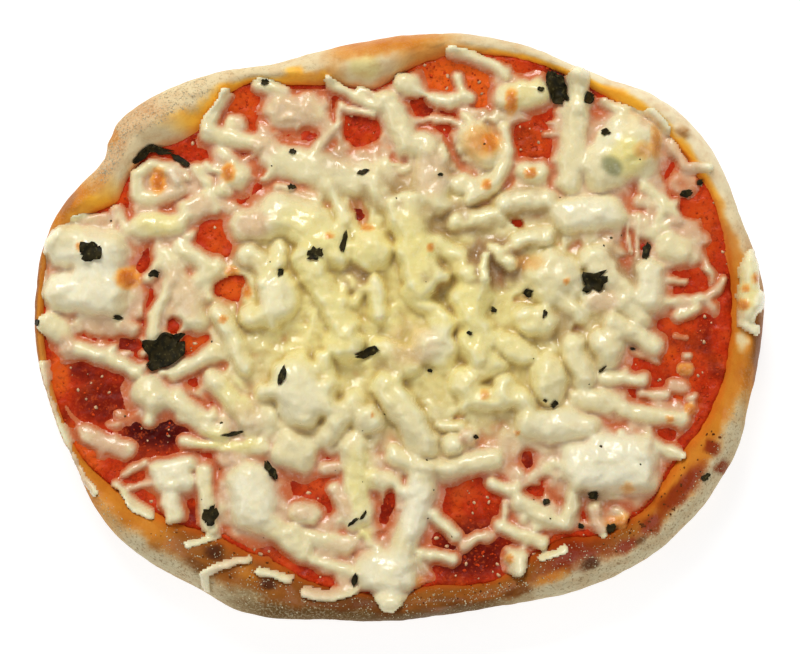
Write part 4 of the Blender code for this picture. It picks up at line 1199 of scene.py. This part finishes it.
@dataclass
class Cheese:
    """Grated cheese melted into a film with strands and lumps that still stand proud."""

    ground: Ground
    step: float = 0.38
    film: float = 1.2
    shreds: int = 300
    # Browned spots: x, y, length, width, strength.
    toasted: tuple[tuple[float, ...], ...] = (
        (-46.4, 8.4, 4.2, 4.0, 1.0), (-54.3, 13.8, 1.6, 1.6, 0.6), (-41.3, 25.0, 2.8, 4.8, 0.9),
        (-29.3, 26.3, 2.6, 3.6, 0.8), (-28.8, 9.5, 2.6, 2.2, 0.6), (-26.0, 6.0, 1.6, 2.6, 0.6),
        (-30.2, 1.3, 1.6, 1.6, 0.6), (15.2, 31.5, 3.2, 3.2, 0.95), (14.0, 31.5, 7.0, 6.4, 0.45),
        (14.8, 24.3, 2.0, 2.0, 0.7), (19.0, 38.5, 2.4, 4.6, 0.8), (22.3, 26.3, 2.4, 2.0, 0.7),
        (-12.0, 15.5, 1.8, 1.4, 0.6), (5.2, 13.5, 1.6, 1.6, 0.6), (-5.5, 17.0, 2.6, 1.2, 0.5),
        (28.3, 7.8, 1.3, 1.3, 0.6), (58.6, 6.5, 1.6, 1.6, 0.7), (60.5, 8.3, 2.0, 2.0, 0.7),
        (58.3, 3.8, 2.2, 2.2, 0.7), (41.5, 30.0, 4.0, 3.4, 0.35), (38.8, -27.5, 2.4, 2.4, 0.35),
        (46.0, -15.8, 1.6, 1.6, 0.6), (48.7, -7.2, 2.6, 2.0, 0.7), (49.5, -14.0, 2.0, 2.0, 0.7),
        (3.3, -44.0, 1.6, 3.4, 0.4), (14.5, -11.5, 2.0, 2.0, 0.4), (-4.7, -15.0, 0.9, 0.9, 0.6),
        (20.0, -18.0, 1.1, 1.1, 0.6), (18.7, -39.6, 1.8, 1.8, 0.6), (22.0, 11.0, 6.0, 3.0, 0.25),
        (43.6, 31.6, 2.4, 6.0, 0.5), (38.0, -33.6, 6.0, 3.4, 0.6),
    )
    # Yellower cheese: middle x and y, length, width, turn, strength.
    yellow: tuple[tuple[float, ...], ...] = (
        (-4.0, 4.0, 66.0, 44.0, 10.0, 0.75), (-41.0, 17.6, 11.0, 6.0, 0.0, 0.6),
        (14.0, -4.0, 40.0, 36.0, 0.0, 0.5), (-30.0, -19.6, 16.0, 6.0, 0.0, 0.7),
        (-7.0, -26.0, 7.0, 16.0, 0.0, 0.6), (-28.0, -12.0, 10.0, 12.0, -40.0, 0.5),
        (59.4, 7.0, 8.0, 14.0, 0.0, 0.6), (-6.0, -35.0, 5.0, 4.0, 0.0, 0.8),
        (22.0, 40.0, 12.0, 8.0, 0.0, 0.4), (-16.0, 16.6, 16.0, 9.0, -30.0, 0.5),
        (2.4, 14.0, 9.0, 15.0, 0.0, 0.5), (38.4, 29.0, 9.0, 9.0, 0.0, 0.9),
    )
    # Whiter cheese: middle x and y, length, width, turn, strength.
    white: tuple[tuple[float, ...], ...] = (
        (-53.0, 9.0, 18.0, 18.0, 0.0, 0.8), (36.0, -23.0, 22.0, 14.0, 0.0, 0.85),
        (34.0, 33.0, 9.0, 9.0, 0.0, 0.4), (-25.0, -29.0, 12.0, 14.0, 0.0, 0.7),
        (2.6, -31.0, 8.0, 16.0, 10.0, 0.8), (-39.0, -27.0, 11.0, 13.0, 0.0, 0.6),
        (-21.0, 5.0, 8.0, 10.0, 0.0, 0.6), (6.0, -3.0, 9.0, 9.0, 0.0, 0.6),
        (32.0, 19.5, 13.0, 8.0, 0.0, 0.6), (43.0, 7.0, 8.0, 9.0, 0.0, 0.5),
        (61.4, 4.3, 3.6, 4.4, 0.0, 0.9), (-2.0, -42.0, 12.0, 11.0, 0.0, 0.6),
        (-17.0, -11.0, 12.0, 13.0, 0.0, 0.5), (27.0, -17.0, 14.0, 7.0, 0.0, 0.4),
        (-38.4, 26.0, 3.6, 4.4, 0.0, 0.7),
    )
    # Cheese that lets the sauce's colour through: middle x and y, length, width, turn, strength.
    stained: tuple[tuple[float, ...], ...] = (
        (-57.0, -3.2, 4.0, 5.0, 0.0, 0.7), (-46.5, 0.0, 4.0, 4.0, 0.0, 0.7),
        (-51.0, 0.2, 7.0, 5.0, 0.0, 0.6), (-37.0, 6.0, 6.0, 13.0, 25.0, 0.45),
        (-29.0, -22.5, 6.0, 4.0, 0.0, 0.7), (-10.0, -30.0, 4.0, 8.0, 25.0, 0.6),
        (11.5, -18.8, 4.0, 4.0, 0.0, 0.7), (33.8, -33.0, 4.0, 6.0, 0.0, 0.8),
        (47.5, -10.0, 5.0, 4.0, 0.0, 0.6), (48.5, 17.0, 9.0, 4.0, -30.0, 0.7),
        (34.5, 4.5, 7.0, 6.0, 0.0, 0.5), (42.5, 35.0, 5.0, 4.0, 0.0, 0.4),
        (49.0, 28.5, 8.0, 5.0, -25.0, 0.6), (-18.0, 37.0, 11.0, 8.0, 0.0, 0.55),
        (-23.0, 31.0, 6.0, 5.0, 0.0, 0.5), (-34.0, 20.6, 6.0, 5.0, 0.0, 0.5),
        (-25.0, 17.5, 8.0, 6.0, 0.0, 0.6), (5.5, 26.0, 8.0, 10.0, 0.0, 0.45),
        (-12.0, -24.0, 4.0, 3.0, 0.0, 0.5), (48.5, 24.5, 7.0, 6.0, 0.0, 0.6),
        (-39.0, 24.0, 8.0, 8.0, 0.0, 0.5), (-9.0, 31.0, 10.0, 10.0, 0.0, 0.4),
        (2.0, -3.0, 12.0, 10.0, 0.0, 0.35), (-14.0, -44.0, 14.0, 6.0, 0.0, 0.6),
        (-29.0, -41.0, 9.0, 5.0, 20.0, 0.5), (-50.0, -20.0, 9.0, 6.0, -20.0, 0.55),
        (-16.6, -31.4, 6.0, 4.0, 0.0, 0.5), (-9.0, -38.0, 12.0, 5.0, 0.0, 0.35),
        (-60.0, -12.0, 5.0, 16.0, 0.0, 0.6), (-55.0, -24.0, 5.0, 12.0, 30.0, 0.6),
        (12.0, 44.0, 14.0, 5.0, -20.0, 0.5), (-27.0, -16.0, 10.0, 8.0, 0.0, 0.3),
        (47.0, 30.0, 8.0, 10.0, 0.0, 0.5),
    )
    # Darker, half clear film between the lumps, with painted shade where it lies low: middle x and y, length,
    # width, turn, strength.
    shaded_film_spots: tuple[tuple[float, ...], ...] = (
        (16.0, 11.0, 14.0, 12.0, 0.0, 0.95), (6.0, 8.5, 6.0, 7.0, 0.0, 0.7),
        (-7.6, 8.4, 6.0, 6.0, 0.0, 0.7), (9.0, 18.4, 18.0, 8.0, 0.0, 0.6),
        (-2.0, 23.0, 14.0, 8.0, 0.0, 0.5), (8.0, 29.0, 8.0, 9.0, 0.0, 0.5),
        (38.0, 11.0, 8.0, 12.0, 0.0, 0.6), (27.0, 0.0, 10.0, 8.0, 0.0, 0.4),
        (0.0, -6.0, 12.0, 6.0, 0.0, 0.4), (32.0, -30.0, 12.0, 8.0, 0.0, 0.5),
        (-26.0, 12.0, 8.0, 8.0, 0.0, 0.4), (-12.0, 30.0, 8.0, 10.0, 0.0, 0.4),
        (22.0, 21.0, 10.0, 8.0, 0.0, 0.5), (16.0, 36.0, 6.0, 6.0, 0.0, 0.4),
    )

    @staticmethod
    def stroke(
        x: np.ndarray, y: np.ndarray, swell: np.ndarray, row: tuple[float, ...]
    ) -> tuple[np.ndarray, np.ndarray]:
        """The height a strand adds near its line.

        Args:
            x: Places along X.
            y: Places along Y.
            swell: How much wider the strand is at each place, as a share.
            row: The strand's width, height and points.

        Returns:
            The indices of the places near it, and the height at each of them.
        """
        width, height, *points = row
        xs, ys = points[0::2], points[1::2]
        half = width * 0.5
        far = half * 2.4
        near = (x > min(xs) - far) & (x < max(xs) + far) & (y > min(ys) - far) & (y < max(ys) + far)
        index = np.flatnonzero(near)
        px, py = x[index], y[index]
        away = np.full(len(index), 1e9)
        for x0, y0, x1, y1 in zip(xs, ys, xs[1:], ys[1:]):
            run_x, run_y = x1 - x0, y1 - y0
            share = ((px - x0) * run_x + (py - y0) * run_y) / (run_x**2 + run_y**2 + 1e-9)
            share = np.clip(share, 0.0, 1.0)
            away = np.minimum(away, np.hypot(px - x0 - share * run_x, py - y0 - share * run_y))
        away = away / (half * (1.0 + swell[index]))
        body = np.clip(1.0 - (away * 1.05) ** 2.3, 0.0, 1.0) ** 0.60
        foot = 0.34 * np.clip(1.0 - (away / 1.65) ** 2, 0.0, 1.0)
        return index, height * np.maximum(body, foot)

    def random_shreds(self) -> list[tuple[float, ...]]:
        """Short bits round the melted middle, between the strands placed one by one.

        Returns:
            Rows like those of the placed strands.
        """
        draw = random.Random(11)
        rows = []
        for _ in range(self.shreds):
            direction = draw.uniform(0.0, 360.0)
            distance = 54.0 * math.sqrt(draw.random())
            x = distance * math.cos(math.radians(direction)) * 1.02
            y = distance * math.sin(math.radians(direction)) * 0.84
            turn = draw.uniform(0.0, math.pi)
            length = draw.uniform(0.4, 4.2)
            bend = turn + draw.uniform(-0.9, 0.9)
            middle = (x + length * 0.5 * math.cos(turn), y + length * 0.5 * math.sin(turn))
            end = (middle[0] + length * 0.5 * math.cos(bend), middle[1] + length * 0.5 * math.sin(bend))
            if math.hypot((x - 2.0) / 34.0, (y - 2.0) / 24.0) > 1.0:
                rows.append((draw.uniform(1.2, 2.8), draw.uniform(0.9, 2.1), x, y, *middle, *end))
        return rows

    def thickness(self, x: np.ndarray, y: np.ndarray) -> np.ndarray:
        """How thick the cheese lies at each place.

        Args:
            x: Places along X.
            y: Places along Y.

        Returns:
            The thickness, 0 where there is none.
        """
        core = smooth_step(0.0, 0.45, blob(x, y, MELTED_MIDDLE))
        melt = 0.55 + 0.45 * core
        wx = x + melt * 0.80 * grain(x, y, 3.4, 21.0) + 0.18 * grain(x, y, 1.4, 25.0)
        wy = y + melt * 0.80 * grain(x, y, 3.4, 29.0) + 0.18 * grain(x, y, 1.4, 33.0)
        swell = melt * 0.30 * grain(x, y, 3.0, 45.0) + 0.26 * core - 0.06
        rough_x = wx + 0.35 * grain(x, y, 1.2, 27.0)
        rough_y = wy + 0.35 * grain(x, y, 1.2, 35.0)
        open_share = self.openings(rough_x, rough_y)
        closed = (1.0 - open_share) * smooth_step(0.99, 0.93, Dough.reach(x, y))
        patchy = np.maximum(core, smooth_step(-0.26, 0.10, grain(x, y, 5.2, 49.0)))
        uneven = 1.0 + 0.5 * grain(x, y, 3.2, 41.0) + 0.25 * grain(x, y, 1.5, 43.0)
        film = (self.film + 0.25 * core) * closed * patchy * uneven
        total = np.maximum(film, 0.0) ** 3
        for row in self.random_shreds():
            index, height = self.stroke(wx, wy, swell, row)
            total[index] += (height * closed[index]) ** 3
        for row in CHEESE_STRANDS:
            index, height = self.stroke(wx, wy, swell, row)
            total[index] += (height * (1.0 + 0.5 * core[index])) ** 3
        thick = total ** (1.0 / 3.0)
        lumps = 1.0 + melt * 0.22 * grain(x, y, 3.2, 51.0) + 0.05 * grain(x, y, 1.3, 55.0)
        thick = thick * lumps
        threads = np.clip(1.0 - 5.0 * np.abs(grain(wx, wy, 4.2, 57.0)), 0.0, 1.0) ** 2
        thick += np.where(thick > 0.6, 0.20 * threads, 0.0)
        for spot_x, spot_y, length, width, strength in self.toasted:
            inside = blob(x, y, (spot_x, spot_y, length, width, 0.0))
            thick += np.where(thick > 0.3, 0.5 * strength * smooth_step(0.0, 0.7, inside), 0.0)
        return np.where(thick > TALL_CHEESE, TALL_CHEESE + (thick - TALL_CHEESE) * TALL_SHARE, thick)

    @staticmethod
    def openings(x: np.ndarray, y: np.ndarray) -> np.ndarray:
        """How open the film is at each place, 0 to 1.

        Args:
            x: Places along X.
            y: Places along Y.

        Returns:
            The share of each place that is open.
        """
        share = np.zeros(len(x))
        for window in WINDOWS:
            near = (np.abs(x - window[0]) < 12.0) & (np.abs(y - window[1]) < 12.0)
            index = np.flatnonzero(near)
            inside = smooth_step(-0.20, 0.20, blob(x[index], y[index], window))
            share[index] = np.maximum(share[index], inside)
        return share

    def height(self, x: np.ndarray, y: np.ndarray) -> np.ndarray:
        """The cheese's top, or nan where there is none.

        Args:
            x: Places along X.
            y: Places along Y.

        Returns:
            The height at each place.
        """
        thick = self.thickness(x, y)
        on_rim = smooth_step(-0.6, 0.3, Dough.over(x, y))
        thick = (thick - 0.8 * on_rim) * (1.0 + 0.5 * on_rim)
        there = (thick > 0.03) & (Dough.reach(x, y) < 1.96)
        below = self.ground.tops(x[there], y[there])
        below[below < CHEESE_FOOT] = np.nan
        top = np.full(x.shape, np.nan)
        top[there] = below - CHEESE_SINK + thick[there]
        return top

    def build(self) -> bpy.types.Object:
        """Model the cheese and give it its tones.

        Returns:
            The cheese.
        """
        edit = Relief(self.step, CHEESE_FOOT).build(self.height, (62.8, 51.0))
        self.soften(edit)
        piece = finished(edit, "melted_cheese_relief", CheeseFinish().build())
        self.dress(piece)
        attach(piece, "root")
        nodes = [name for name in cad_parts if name.startswith(("cheese_", "melted_"))]
        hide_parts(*nodes)
        return piece

    @staticmethod
    def soften(edit: bmesh.types.BMesh) -> None:
        """Take the grid's sharpness off the relief.

        Args:
            edit: The edited mesh.
        """
        upper = [
            vert for vert in edit.verts
            if all(other.co.z > CHEESE_SKIRT_TOP for edge in vert.link_edges for other in edge.verts)
        ]
        bmesh.ops.smooth_vert(edit, verts=upper, factor=0.5, use_axis_z=True)

    @staticmethod
    def crest(mesh: bpy.types.Mesh, rounds: int) -> np.ndarray:
        """How far each place stands over the even surface round it.

        Args:
            mesh: The mesh.
            rounds: How wide a surface is taken, in steps of the mesh.

        Returns:
            The height over that surface, below 0 where a place lies lower than its surroundings.
        """
        ends = np.empty(len(mesh.edges) * 2, np.int32)
        mesh.edges.foreach_get("vertices", ends)
        first, second = ends[0::2], ends[1::2]
        height = mesh_places(mesh)[:, 2]
        low = height < CHEESE_SKIRT_TOP
        even = np.where(low, np.median(height), height)
        count = len(even)
        links = np.bincount(first, minlength=count) + np.bincount(second, minlength=count)
        for _ in range(rounds):
            near = np.bincount(first, even[second], count) + np.bincount(second, even[first], count)
            even = 0.4 * even + 0.6 * near / np.maximum(links, 1)
        return height - even

    def dress(self, piece: bpy.types.Object) -> None:
        """Lay the cheese's tones: thin, stained, yellow, white and browned, with painted shade in the hollows
        and painted highlights on the crests.

        Args:
            piece: The cheese.
        """
        spots = mesh_places(piece.data)
        x, y, z = spots.T
        colours = painted(len(spots), Tone.CREAM)
        thick = z - self.ground.tops(x, y) + CHEESE_SINK
        crest = self.crest(piece.data, 22)
        for *oval, strength in self.yellow:
            paint(colours, smooth_step(0.0, 0.6, blob(x, y, tuple(oval))) * strength, Tone.YELLOW)
        for *oval, strength in self.white:
            paint(colours, smooth_step(0.0, 0.5, blob(x, y, tuple(oval))) * strength, Tone.WHITE_AND_CREST_HIGHLIGHT)
        for *oval, strength in self.stained:
            paint(colours, smooth_step(0.0, 0.5, blob(x, y, tuple(oval))) * strength, Tone.SEE_THROUGH_PINK_AND_SHADE)
        middle = smooth_step(0.0, 0.45, blob(x, y, MELTED_MIDDLE))
        # Painted shade: in the melted middle, places lower than the surface round them are darkened; thin
        # film takes the same tone.
        hollow_shade = smooth_step(-0.05, -0.75, crest + 0.15 * grain(x, y, 2.0, 65.0))
        thin = smooth_step(1.9, 0.8, thick + 0.5 * grain(x, y, 2.5, 61.0))
        paint(colours, np.maximum(hollow_shade * 0.8, thin * 0.6) * middle, Tone.THIN_FILM_AND_HOLLOW_SHADE)
        # Painted shade in the deepest hollows.
        paint(colours, smooth_step(-0.6, -1.3, crest) * 0.7 * middle, Tone.DEEP_HOLLOW_SHADE)
        on_sauce = smooth_step(0.3, -0.6, Dough.over(x, y))
        skirt = smooth_step(2.1, 1.1, thick + 0.35 * grain(x, y, 2.0, 67.0)) * on_sauce
        # Thin cheese over the sauce turns pink, and hollows away from the middle take the same tone as
        # painted shade.
        paint(colours, np.maximum(hollow_shade * 0.35, skirt * 0.85) * (1.0 - middle), Tone.SEE_THROUGH_PINK_AND_SHADE)
        # Half clear film darkened where it lies low, partly painted shade.
        for *oval, strength in self.shaded_film_spots:
            inside = smooth_step(0.0, 0.5, blob(x, y, tuple(oval))) * smooth_step(0.5, -0.3, crest)
            paint(colours, inside * strength, Tone.FILM_AND_HOLLOW_SHADE)
        thinner = smooth_step(1.25, 0.45, thick + 0.30 * grain(x, y, 1.8, 63.0))
        paint(colours, thinner * on_sauce * 0.9 * (1.0 - 0.4 * middle), Tone.THIN)
        # Painted highlights: places higher than the surface round them are made paler and whiter.
        paint(colours, smooth_step(0.15, 0.8, crest) * 0.7 * middle, Tone.CREST_HIGHLIGHT_YELLOW)
        paint(colours, smooth_step(0.3, 1.1, crest) * (0.5 - 0.2 * middle), Tone.WHITE_AND_CREST_HIGHLIGHT)
        under_leaf = blob(x, y, (36.0, 27.4, 5.5, 4.0, -40.0))
        paint(colours, smooth_step(0.0, 0.6, under_leaf) * 0.7, Tone.UNDER_LEAF)
        for spot_x, spot_y, length, width, strength in self.toasted:
            oval = (spot_x, spot_y, length * 1.25, width * 1.25, 0.0)
            inside = blob(x + 0.35 * grain(x, y, 0.9, 71.0), y + 0.35 * grain(x, y, 0.9, 73.0), oval)
            paint(colours, smooth_step(0.0, 0.45, inside) * strength, Tone.TOAST)
            deep = smooth_step(0.25, 0.75, inside + 0.2 * grain(x, y, 0.8, 75.0))
            paint(colours, deep * strength * 0.75, Tone.TOAST_DEEP)
        write_colours(piece.data, colours)


@dataclass
class Basil:
    """Dried basil: large leaf pieces and small flakes lying on the topping."""

    ground: Ground
    # Each piece: x, y, length, width, turn.
    leaves: tuple[tuple[float, ...], ...] = (
        (-40.5, -4.0, 7.6, 5.2, 30.0), (-52.3, 13.0, 3.6, 3.2, 20.0), (26.8, 41.0, 5.8, 3.2, -65.0),
        (24.0, 40.5, 1.1, 0.9, 0.0), (32.3, 39.0, 2.2, 1.7, 30.0), (35.0, 33.3, 1.4, 1.2, 0.0),
        (51.2, 24.7, 1.1, 1.0, 0.0), (49.0, 22.8, 1.8, 1.4, 20.0), (42.0, 13.0, 2.5, 1.2, 80.0),
        (33.0, 8.0, 4.2, 3.2, 30.0), (21.8, 5.8, 1.4, 1.2, 0.0), (24.6, 2.2, 1.3, 0.8, 70.0),
        (16.0, 3.0, 1.0, 0.9, 0.0), (11.8, -1.1, 0.9, 0.8, 0.0), (5.1, -7.4, 0.8, 0.6, 0.0),
        (24.7, -12.6, 0.7, 0.6, 0.0), (26.3, -13.2, 1.4, 1.1, 20.0), (-14.5, 12.5, 2.5, 2.0, 30.0),
        (-9.5, 14.8, 3.5, 0.9, 80.0), (-20.3, 9.3, 1.4, 0.9, 60.0), (-5.5, -4.3, 4.2, 1.3, 15.0),
        (-20.0, -8.2, 3.0, 1.0, 75.0), (-6.3, 26.5, 2.2, 0.8, 10.0), (-18.5, 24.0, 1.4, 0.9, 0.0),
        (-18.3, 30.0, 1.1, 0.9, 0.0), (-23.0, 41.8, 1.3, 1.0, 0.0), (6.9, 26.0, 0.8, 0.6, 0.0),
        (-42.0, 9.2, 1.6, 1.3, 0.0), (-48.0, 1.6, 1.5, 0.8, 0.0), (-32.3, -32.0, 3.0, 2.4, 60.0),
        (-22.0, -24.5, 3.2, 1.4, -60.0), (-7.7, -43.2, 2.0, 0.9, 75.0), (13.0, -18.8, 0.9, 0.8, 0.0),
        (33.0, -28.8, 1.6, 1.5, 0.0), (25.0, -29.8, 1.2, 1.0, 0.0), (36.0, -34.3, 1.5, 1.3, 0.0),
        (31.0, -34.0, 1.0, 0.9, 0.0), (52.0, -25.5, 1.6, 1.0, 30.0), (39.8, -3.7, 0.9, 0.5, 0.0),
        (34.5, -7.2, 1.6, 0.5, 40.0), (-28.5, -18.2, 4.0, 0.7, 10.0), (-62.0, 0.8, 1.2, 0.9, 80.0),
        (-44.0, 29.2, 4.2, 1.2, 42.0), (-41.0, 30.2, 4.0, 1.2, -5.0), (-37.6, 28.6, 3.6, 1.1, -30.0),
        (-8.0, -33.2, 2.2, 0.6, 40.0), (-6.2, -32.0, 1.8, 0.6, 60.0),
    )

    def leaf(self, edit: bmesh.types.BMesh, row: tuple[float, ...], draw: random.Random) -> None:
        """Add one leaf piece: a small curled plate with ragged edges that follows what it lies on.

        Args:
            edit: The mesh that takes the leaf.
            row: The leaf's place, sizes and turn.
            draw: Where the unevenness comes from.
        """
        x, y, length, width, turn = row
        cells = 16 if length > 5.0 else 9 if length > 2.4 else 5
        rows = max(4, cells * 2 // 3)
        made = bmesh.ops.create_grid(edit, x_segments=cells, y_segments=rows, size=0.5)["verts"]
        curl, seed = draw.uniform(0.1, 0.3), draw.uniform(0.0, 90.0)
        cosine, sine = math.cos(math.radians(turn)), math.sin(math.radians(turn))
        for vert in made:
            u, v = vert.co.x * 2.0, vert.co.y * 2.0
            taper = math.sqrt(max(0.06, 1.0 - abs(u) ** 2.6 * 0.9))
            ragged = 1.0 + 0.6 * noise.noise(Vector((u * 1.7, v * 1.7, seed)))
            along, across = u * length * 0.5 * ragged, v * width * 0.5 * taper * ragged
            across += 0.16 * width * noise.noise(Vector((u * 2.4, seed, 3.0)))
            rise = curl * width * 0.5 * v * v
            rise += 0.16 * width * (1.0 - abs(noise.noise(Vector((u * 2.1, v * 2.1, seed + 5.0))) * 2.0))
            px, py = x + along * cosine - across * sine, y + along * sine + across * cosine
            vert.co = Vector((px, py, self.ground.soft_top(px, py, 0.7) + 0.06 + rise * 0.6))
        faces = list({face for vert in made for face in vert.link_faces})
        thick = bmesh.ops.extrude_face_region(edit, geom=faces)["geom"]
        raised = [item for item in thick if isinstance(item, bmesh.types.BMVert)]
        bmesh.ops.translate(edit, verts=raised, vec=(0.0, 0.0, 0.16))

    def build(self) -> bpy.types.Object:
        """Model the leaves and flakes.

        Returns:
            The basil.
        """
        draw = random.Random(5)
        edit = bmesh.new()
        for row in self.leaves:
            self.leaf(edit, row, draw)
        bmesh.ops.recalc_face_normals(edit, faces=edit.faces)
        piece = finished(edit, "basil_flakes", LeafFinish().build())
        spots = mesh_places(piece.data)
        x, y = spots[:, 0], spots[:, 1]
        colours = painted(len(spots), Tone.LEAF)
        paint(colours, smooth_step(-0.2, 0.3, grain(x, y, 1.0, 81.0)) * 0.9, Tone.LEAF_DARK)
        write_colours(piece.data, colours)
        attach(piece, "root")
        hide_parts("basil_left", "basil_top")
        return piece


@dataclass(frozen=True)
class Kind:
    """One kind of small loose thing: its piece's name, finish, sizes, count, and where it lies."""

    name: str
    tone: tuple[int, int, int]
    slot: str
    sizes: tuple[float, float]
    flat: float
    count: int
    on_cheese: bool
    regions: tuple[tuple[float, ...], ...]
    seed: int


@dataclass
class Scatter:
    """Loose grains, crumbs and bits that lie on the pizza, one piece for each kind."""

    ground: Ground
    cheese: Ground
    # Regions: directions from and to, then reaches from and to.
    kinds: tuple[Kind, ...] = (
        Kind("flour_grains", (214, 200, 164), "crust", (0.14, 0.30), 0.6, 1500, False,
             ((206.0, 346.0, 1.42, 1.95), (128.0, 154.0, 1.45, 1.9), (220.0, 320.0, 1.1, 1.5)), 31),
        Kind("burnt_crumbs", (112, 60, 22), "crust", (0.20, 0.55), 0.6, 90, False,
             ((215.0, 300.0, 1.05, 1.50), (312.0, 342.0, 1.1, 1.5)), 37),
        Kind("sauce_pulp", (206, 66, 20), "sauce", (0.20, 0.65), 0.30, 420, False,
             ((0.0, 360.0, 0.25, 1.0),), 41),
        Kind("cheese_bits", (230, 186, 142), "cheese", (0.25, 0.80), 0.30, 80, False,
             ((0.0, 360.0, 0.2, 1.0),), 43),
        Kind("herb_specks", (74, 68, 34), "basil", (0.25, 0.60), 0.3, 34, True,
             ((0.0, 360.0, 0.1, 0.95),), 47),
    )

    def place(self, kind: Kind, draw: random.Random) -> tuple[float, float]:
        """Draw one place in a kind's regions.

        Args:
            kind: The kind.
            draw: Where chance comes from.

        Returns:
            The place's x and y.
        """
        while True:
            start, end, low, high = draw.choice(kind.regions)
            direction = draw.uniform(start, end)
            if low < 1.0:
                reach = math.sqrt(draw.uniform(low * low, high * high))
            else:
                reach = draw.uniform(low, high)
            edge = float(ring_value(DISH_EDGE, np.array([direction]))[0])
            rim = max(NARROWEST_RIM, float(ring_value(OUTLINE, np.array([direction]))[0]) - edge)
            distance = reach * edge if reach < 1.0 else edge + (reach - 1.0) * rim
            x = distance * math.cos(math.radians(direction))
            y = distance * math.sin(math.radians(direction))
            if kind.on_cheese == (self.cheese.top(x, y) > 0.0):
                return x, y

    def scatter(self, kind: Kind) -> bpy.types.Object:
        """Model all the bits of one kind from one uneven ball each.

        Args:
            kind: The kind.

        Returns:
            The piece.
        """
        draw = random.Random(kind.seed)
        chance = np.random.default_rng(kind.seed)
        ball = bmesh.new()
        bmesh.ops.create_icosphere(ball, subdivisions=1, radius=0.5)
        form = places(ball)
        sides = np.array([[vert.index for vert in face.verts] for face in ball.faces])
        ball.free()
        spots, faces = [], []
        for index in range(kind.count):
            x, y = self.place(kind, draw)
            size = draw.uniform(*kind.sizes) * draw.uniform(0.6, 1.0)
            bit = form * (1.0 + chance.uniform(-0.22, 0.22, (len(form), 1)))
            bit = bit * np.array([size * draw.uniform(0.8, 1.6), size, size * kind.flat])
            turn = draw.uniform(0.0, math.tau)
            spin = np.array([[math.cos(turn), math.sin(turn)], [-math.sin(turn), math.cos(turn)]])
            bit[:, :2] = bit[:, :2] @ spin
            spots.append(bit + np.array([x, y, self.ground.top(x, y) + size * kind.flat * 0.3]))
            faces.append(sides + index * len(form))
        mesh = bpy.data.meshes.new("bits")
        mesh.from_pydata(np.concatenate(spots).tolist(), [], np.concatenate(faces).tolist())
        edit = bmesh.new()
        edit.from_mesh(mesh)
        bpy.data.meshes.remove(mesh)
        piece = finished(edit, kind.name, SpeckFinish(kind.name.replace("_", " "), kind.tone).build())
        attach(piece, "root")
        return piece

    def build(self) -> list[bpy.types.Object]:
        """Model every kind.

        Returns:
            The pieces.
        """
        return [self.scatter(kind) for kind in self.kinds]


@dataclass
class Studio:
    """The pale floor, the soft lights and the camera straight above."""

    lens: float = 150.0
    sensor: float = 36.0
    across: float = 136.75
    topping: float = 10.0

    def build(self) -> None:
        """Make the floor, the lights, the world and the camera."""
        self.floor()
        self.lamp("key", (-0.10, 0.50, 0.48), 0.30, 3.5)
        self.lamp("left", (-0.55, -0.10, 0.40), 0.40, 1.0)
        self.lamp("right", (0.52, -0.18, 0.44), 0.40, 1.0)
        self.lamp("front", (-0.08, -0.60, 0.34), 0.40, 0.35)
        world = bpy.data.worlds.new("soft room")
        bpy.context.scene.world = world
        world.use_nodes = True
        world.node_tree.nodes["Background"].inputs["Color"].default_value = (1.0, 1.0, 1.0, 1.0)
        world.node_tree.nodes["Background"].inputs["Strength"].default_value = 0.26
        self.camera()
        bpy.context.scene.view_settings.view_transform = "Standard"

    @staticmethod
    def floor() -> None:
        """A plain pale floor under the pizza."""
        edit = bmesh.new()
        bmesh.ops.create_grid(edit, x_segments=1, y_segments=1, size=2.0)
        bmesh.ops.translate(edit, verts=edit.verts, vec=(0.0, 0.0, -0.2 * MM))
        mesh = bpy.data.meshes.new("floor")
        edit.to_mesh(mesh)
        edit.free()
        nodes = Nodes("pale floor")
        nodes.shader.inputs["Base Color"].default_value = (0.45, 0.45, 0.45, 1.0)
        nodes.shader.inputs["Roughness"].default_value = 0.9
        nodes.shader.inputs["Specular IOR Level"].default_value = 0.1
        nodes.shader.inputs["Emission Color"].default_value = (1.0, 1.0, 1.0, 1.0)
        nodes.shader.inputs["Emission Strength"].default_value = 0.74
        mesh.materials.append(nodes.material)
        ground = bpy.data.objects.new("floor", mesh)
        bpy.context.scene.collection.objects.link(ground)

    @staticmethod
    def lamp(name: str, place: tuple[float, float, float], size: float, power: float) -> None:
        """A soft white square lamp that points at the pizza.

        Args:
            name: The lamp's name.
            place: Where it hangs, in metres.
            size: The length of its sides, in metres.
            power: Its power in watts.
        """
        light = bpy.data.lights.new(name, "AREA")
        light.size = size
        light.energy = power
        lamp = bpy.data.objects.new(name, light)
        lamp.location = place
        lamp.rotation_mode = "QUATERNION"
        lamp.rotation_quaternion = (-Vector(place)).to_track_quat("-Z", "Y")
        bpy.context.scene.collection.objects.link(lamp)

    def camera(self) -> None:
        """A long lens straight above, with +Y up in the picture."""
        view = bpy.data.cameras.new("camera")
        view.lens = self.lens
        view.sensor_width = self.sensor
        view.clip_start = 0.01
        camera = bpy.data.objects.new("camera", view)
        rise = self.across * self.lens / self.sensor
        camera.location = (0.0, 0.0, (rise + self.topping) * MM)
        bpy.context.scene.collection.objects.link(camera)
        bpy.context.scene.camera = camera


def main() -> None:
    """Build the pizza and its studio."""
    logging.basicConfig(level=logging.INFO, format="%(name)s %(message)s")
    Studio().build()
    crust, sauce = Crust().build(), Sauce().build()
    cheese = Cheese(Ground(crust, sauce)).build()
    ground = Ground(crust, sauce, cheese)
    Basil(ground).build()
    for piece in Scatter(ground, Ground(cheese)).build():
        LOG.info("scattered %s", piece.name)


if __name__ == "__main__":
    main()
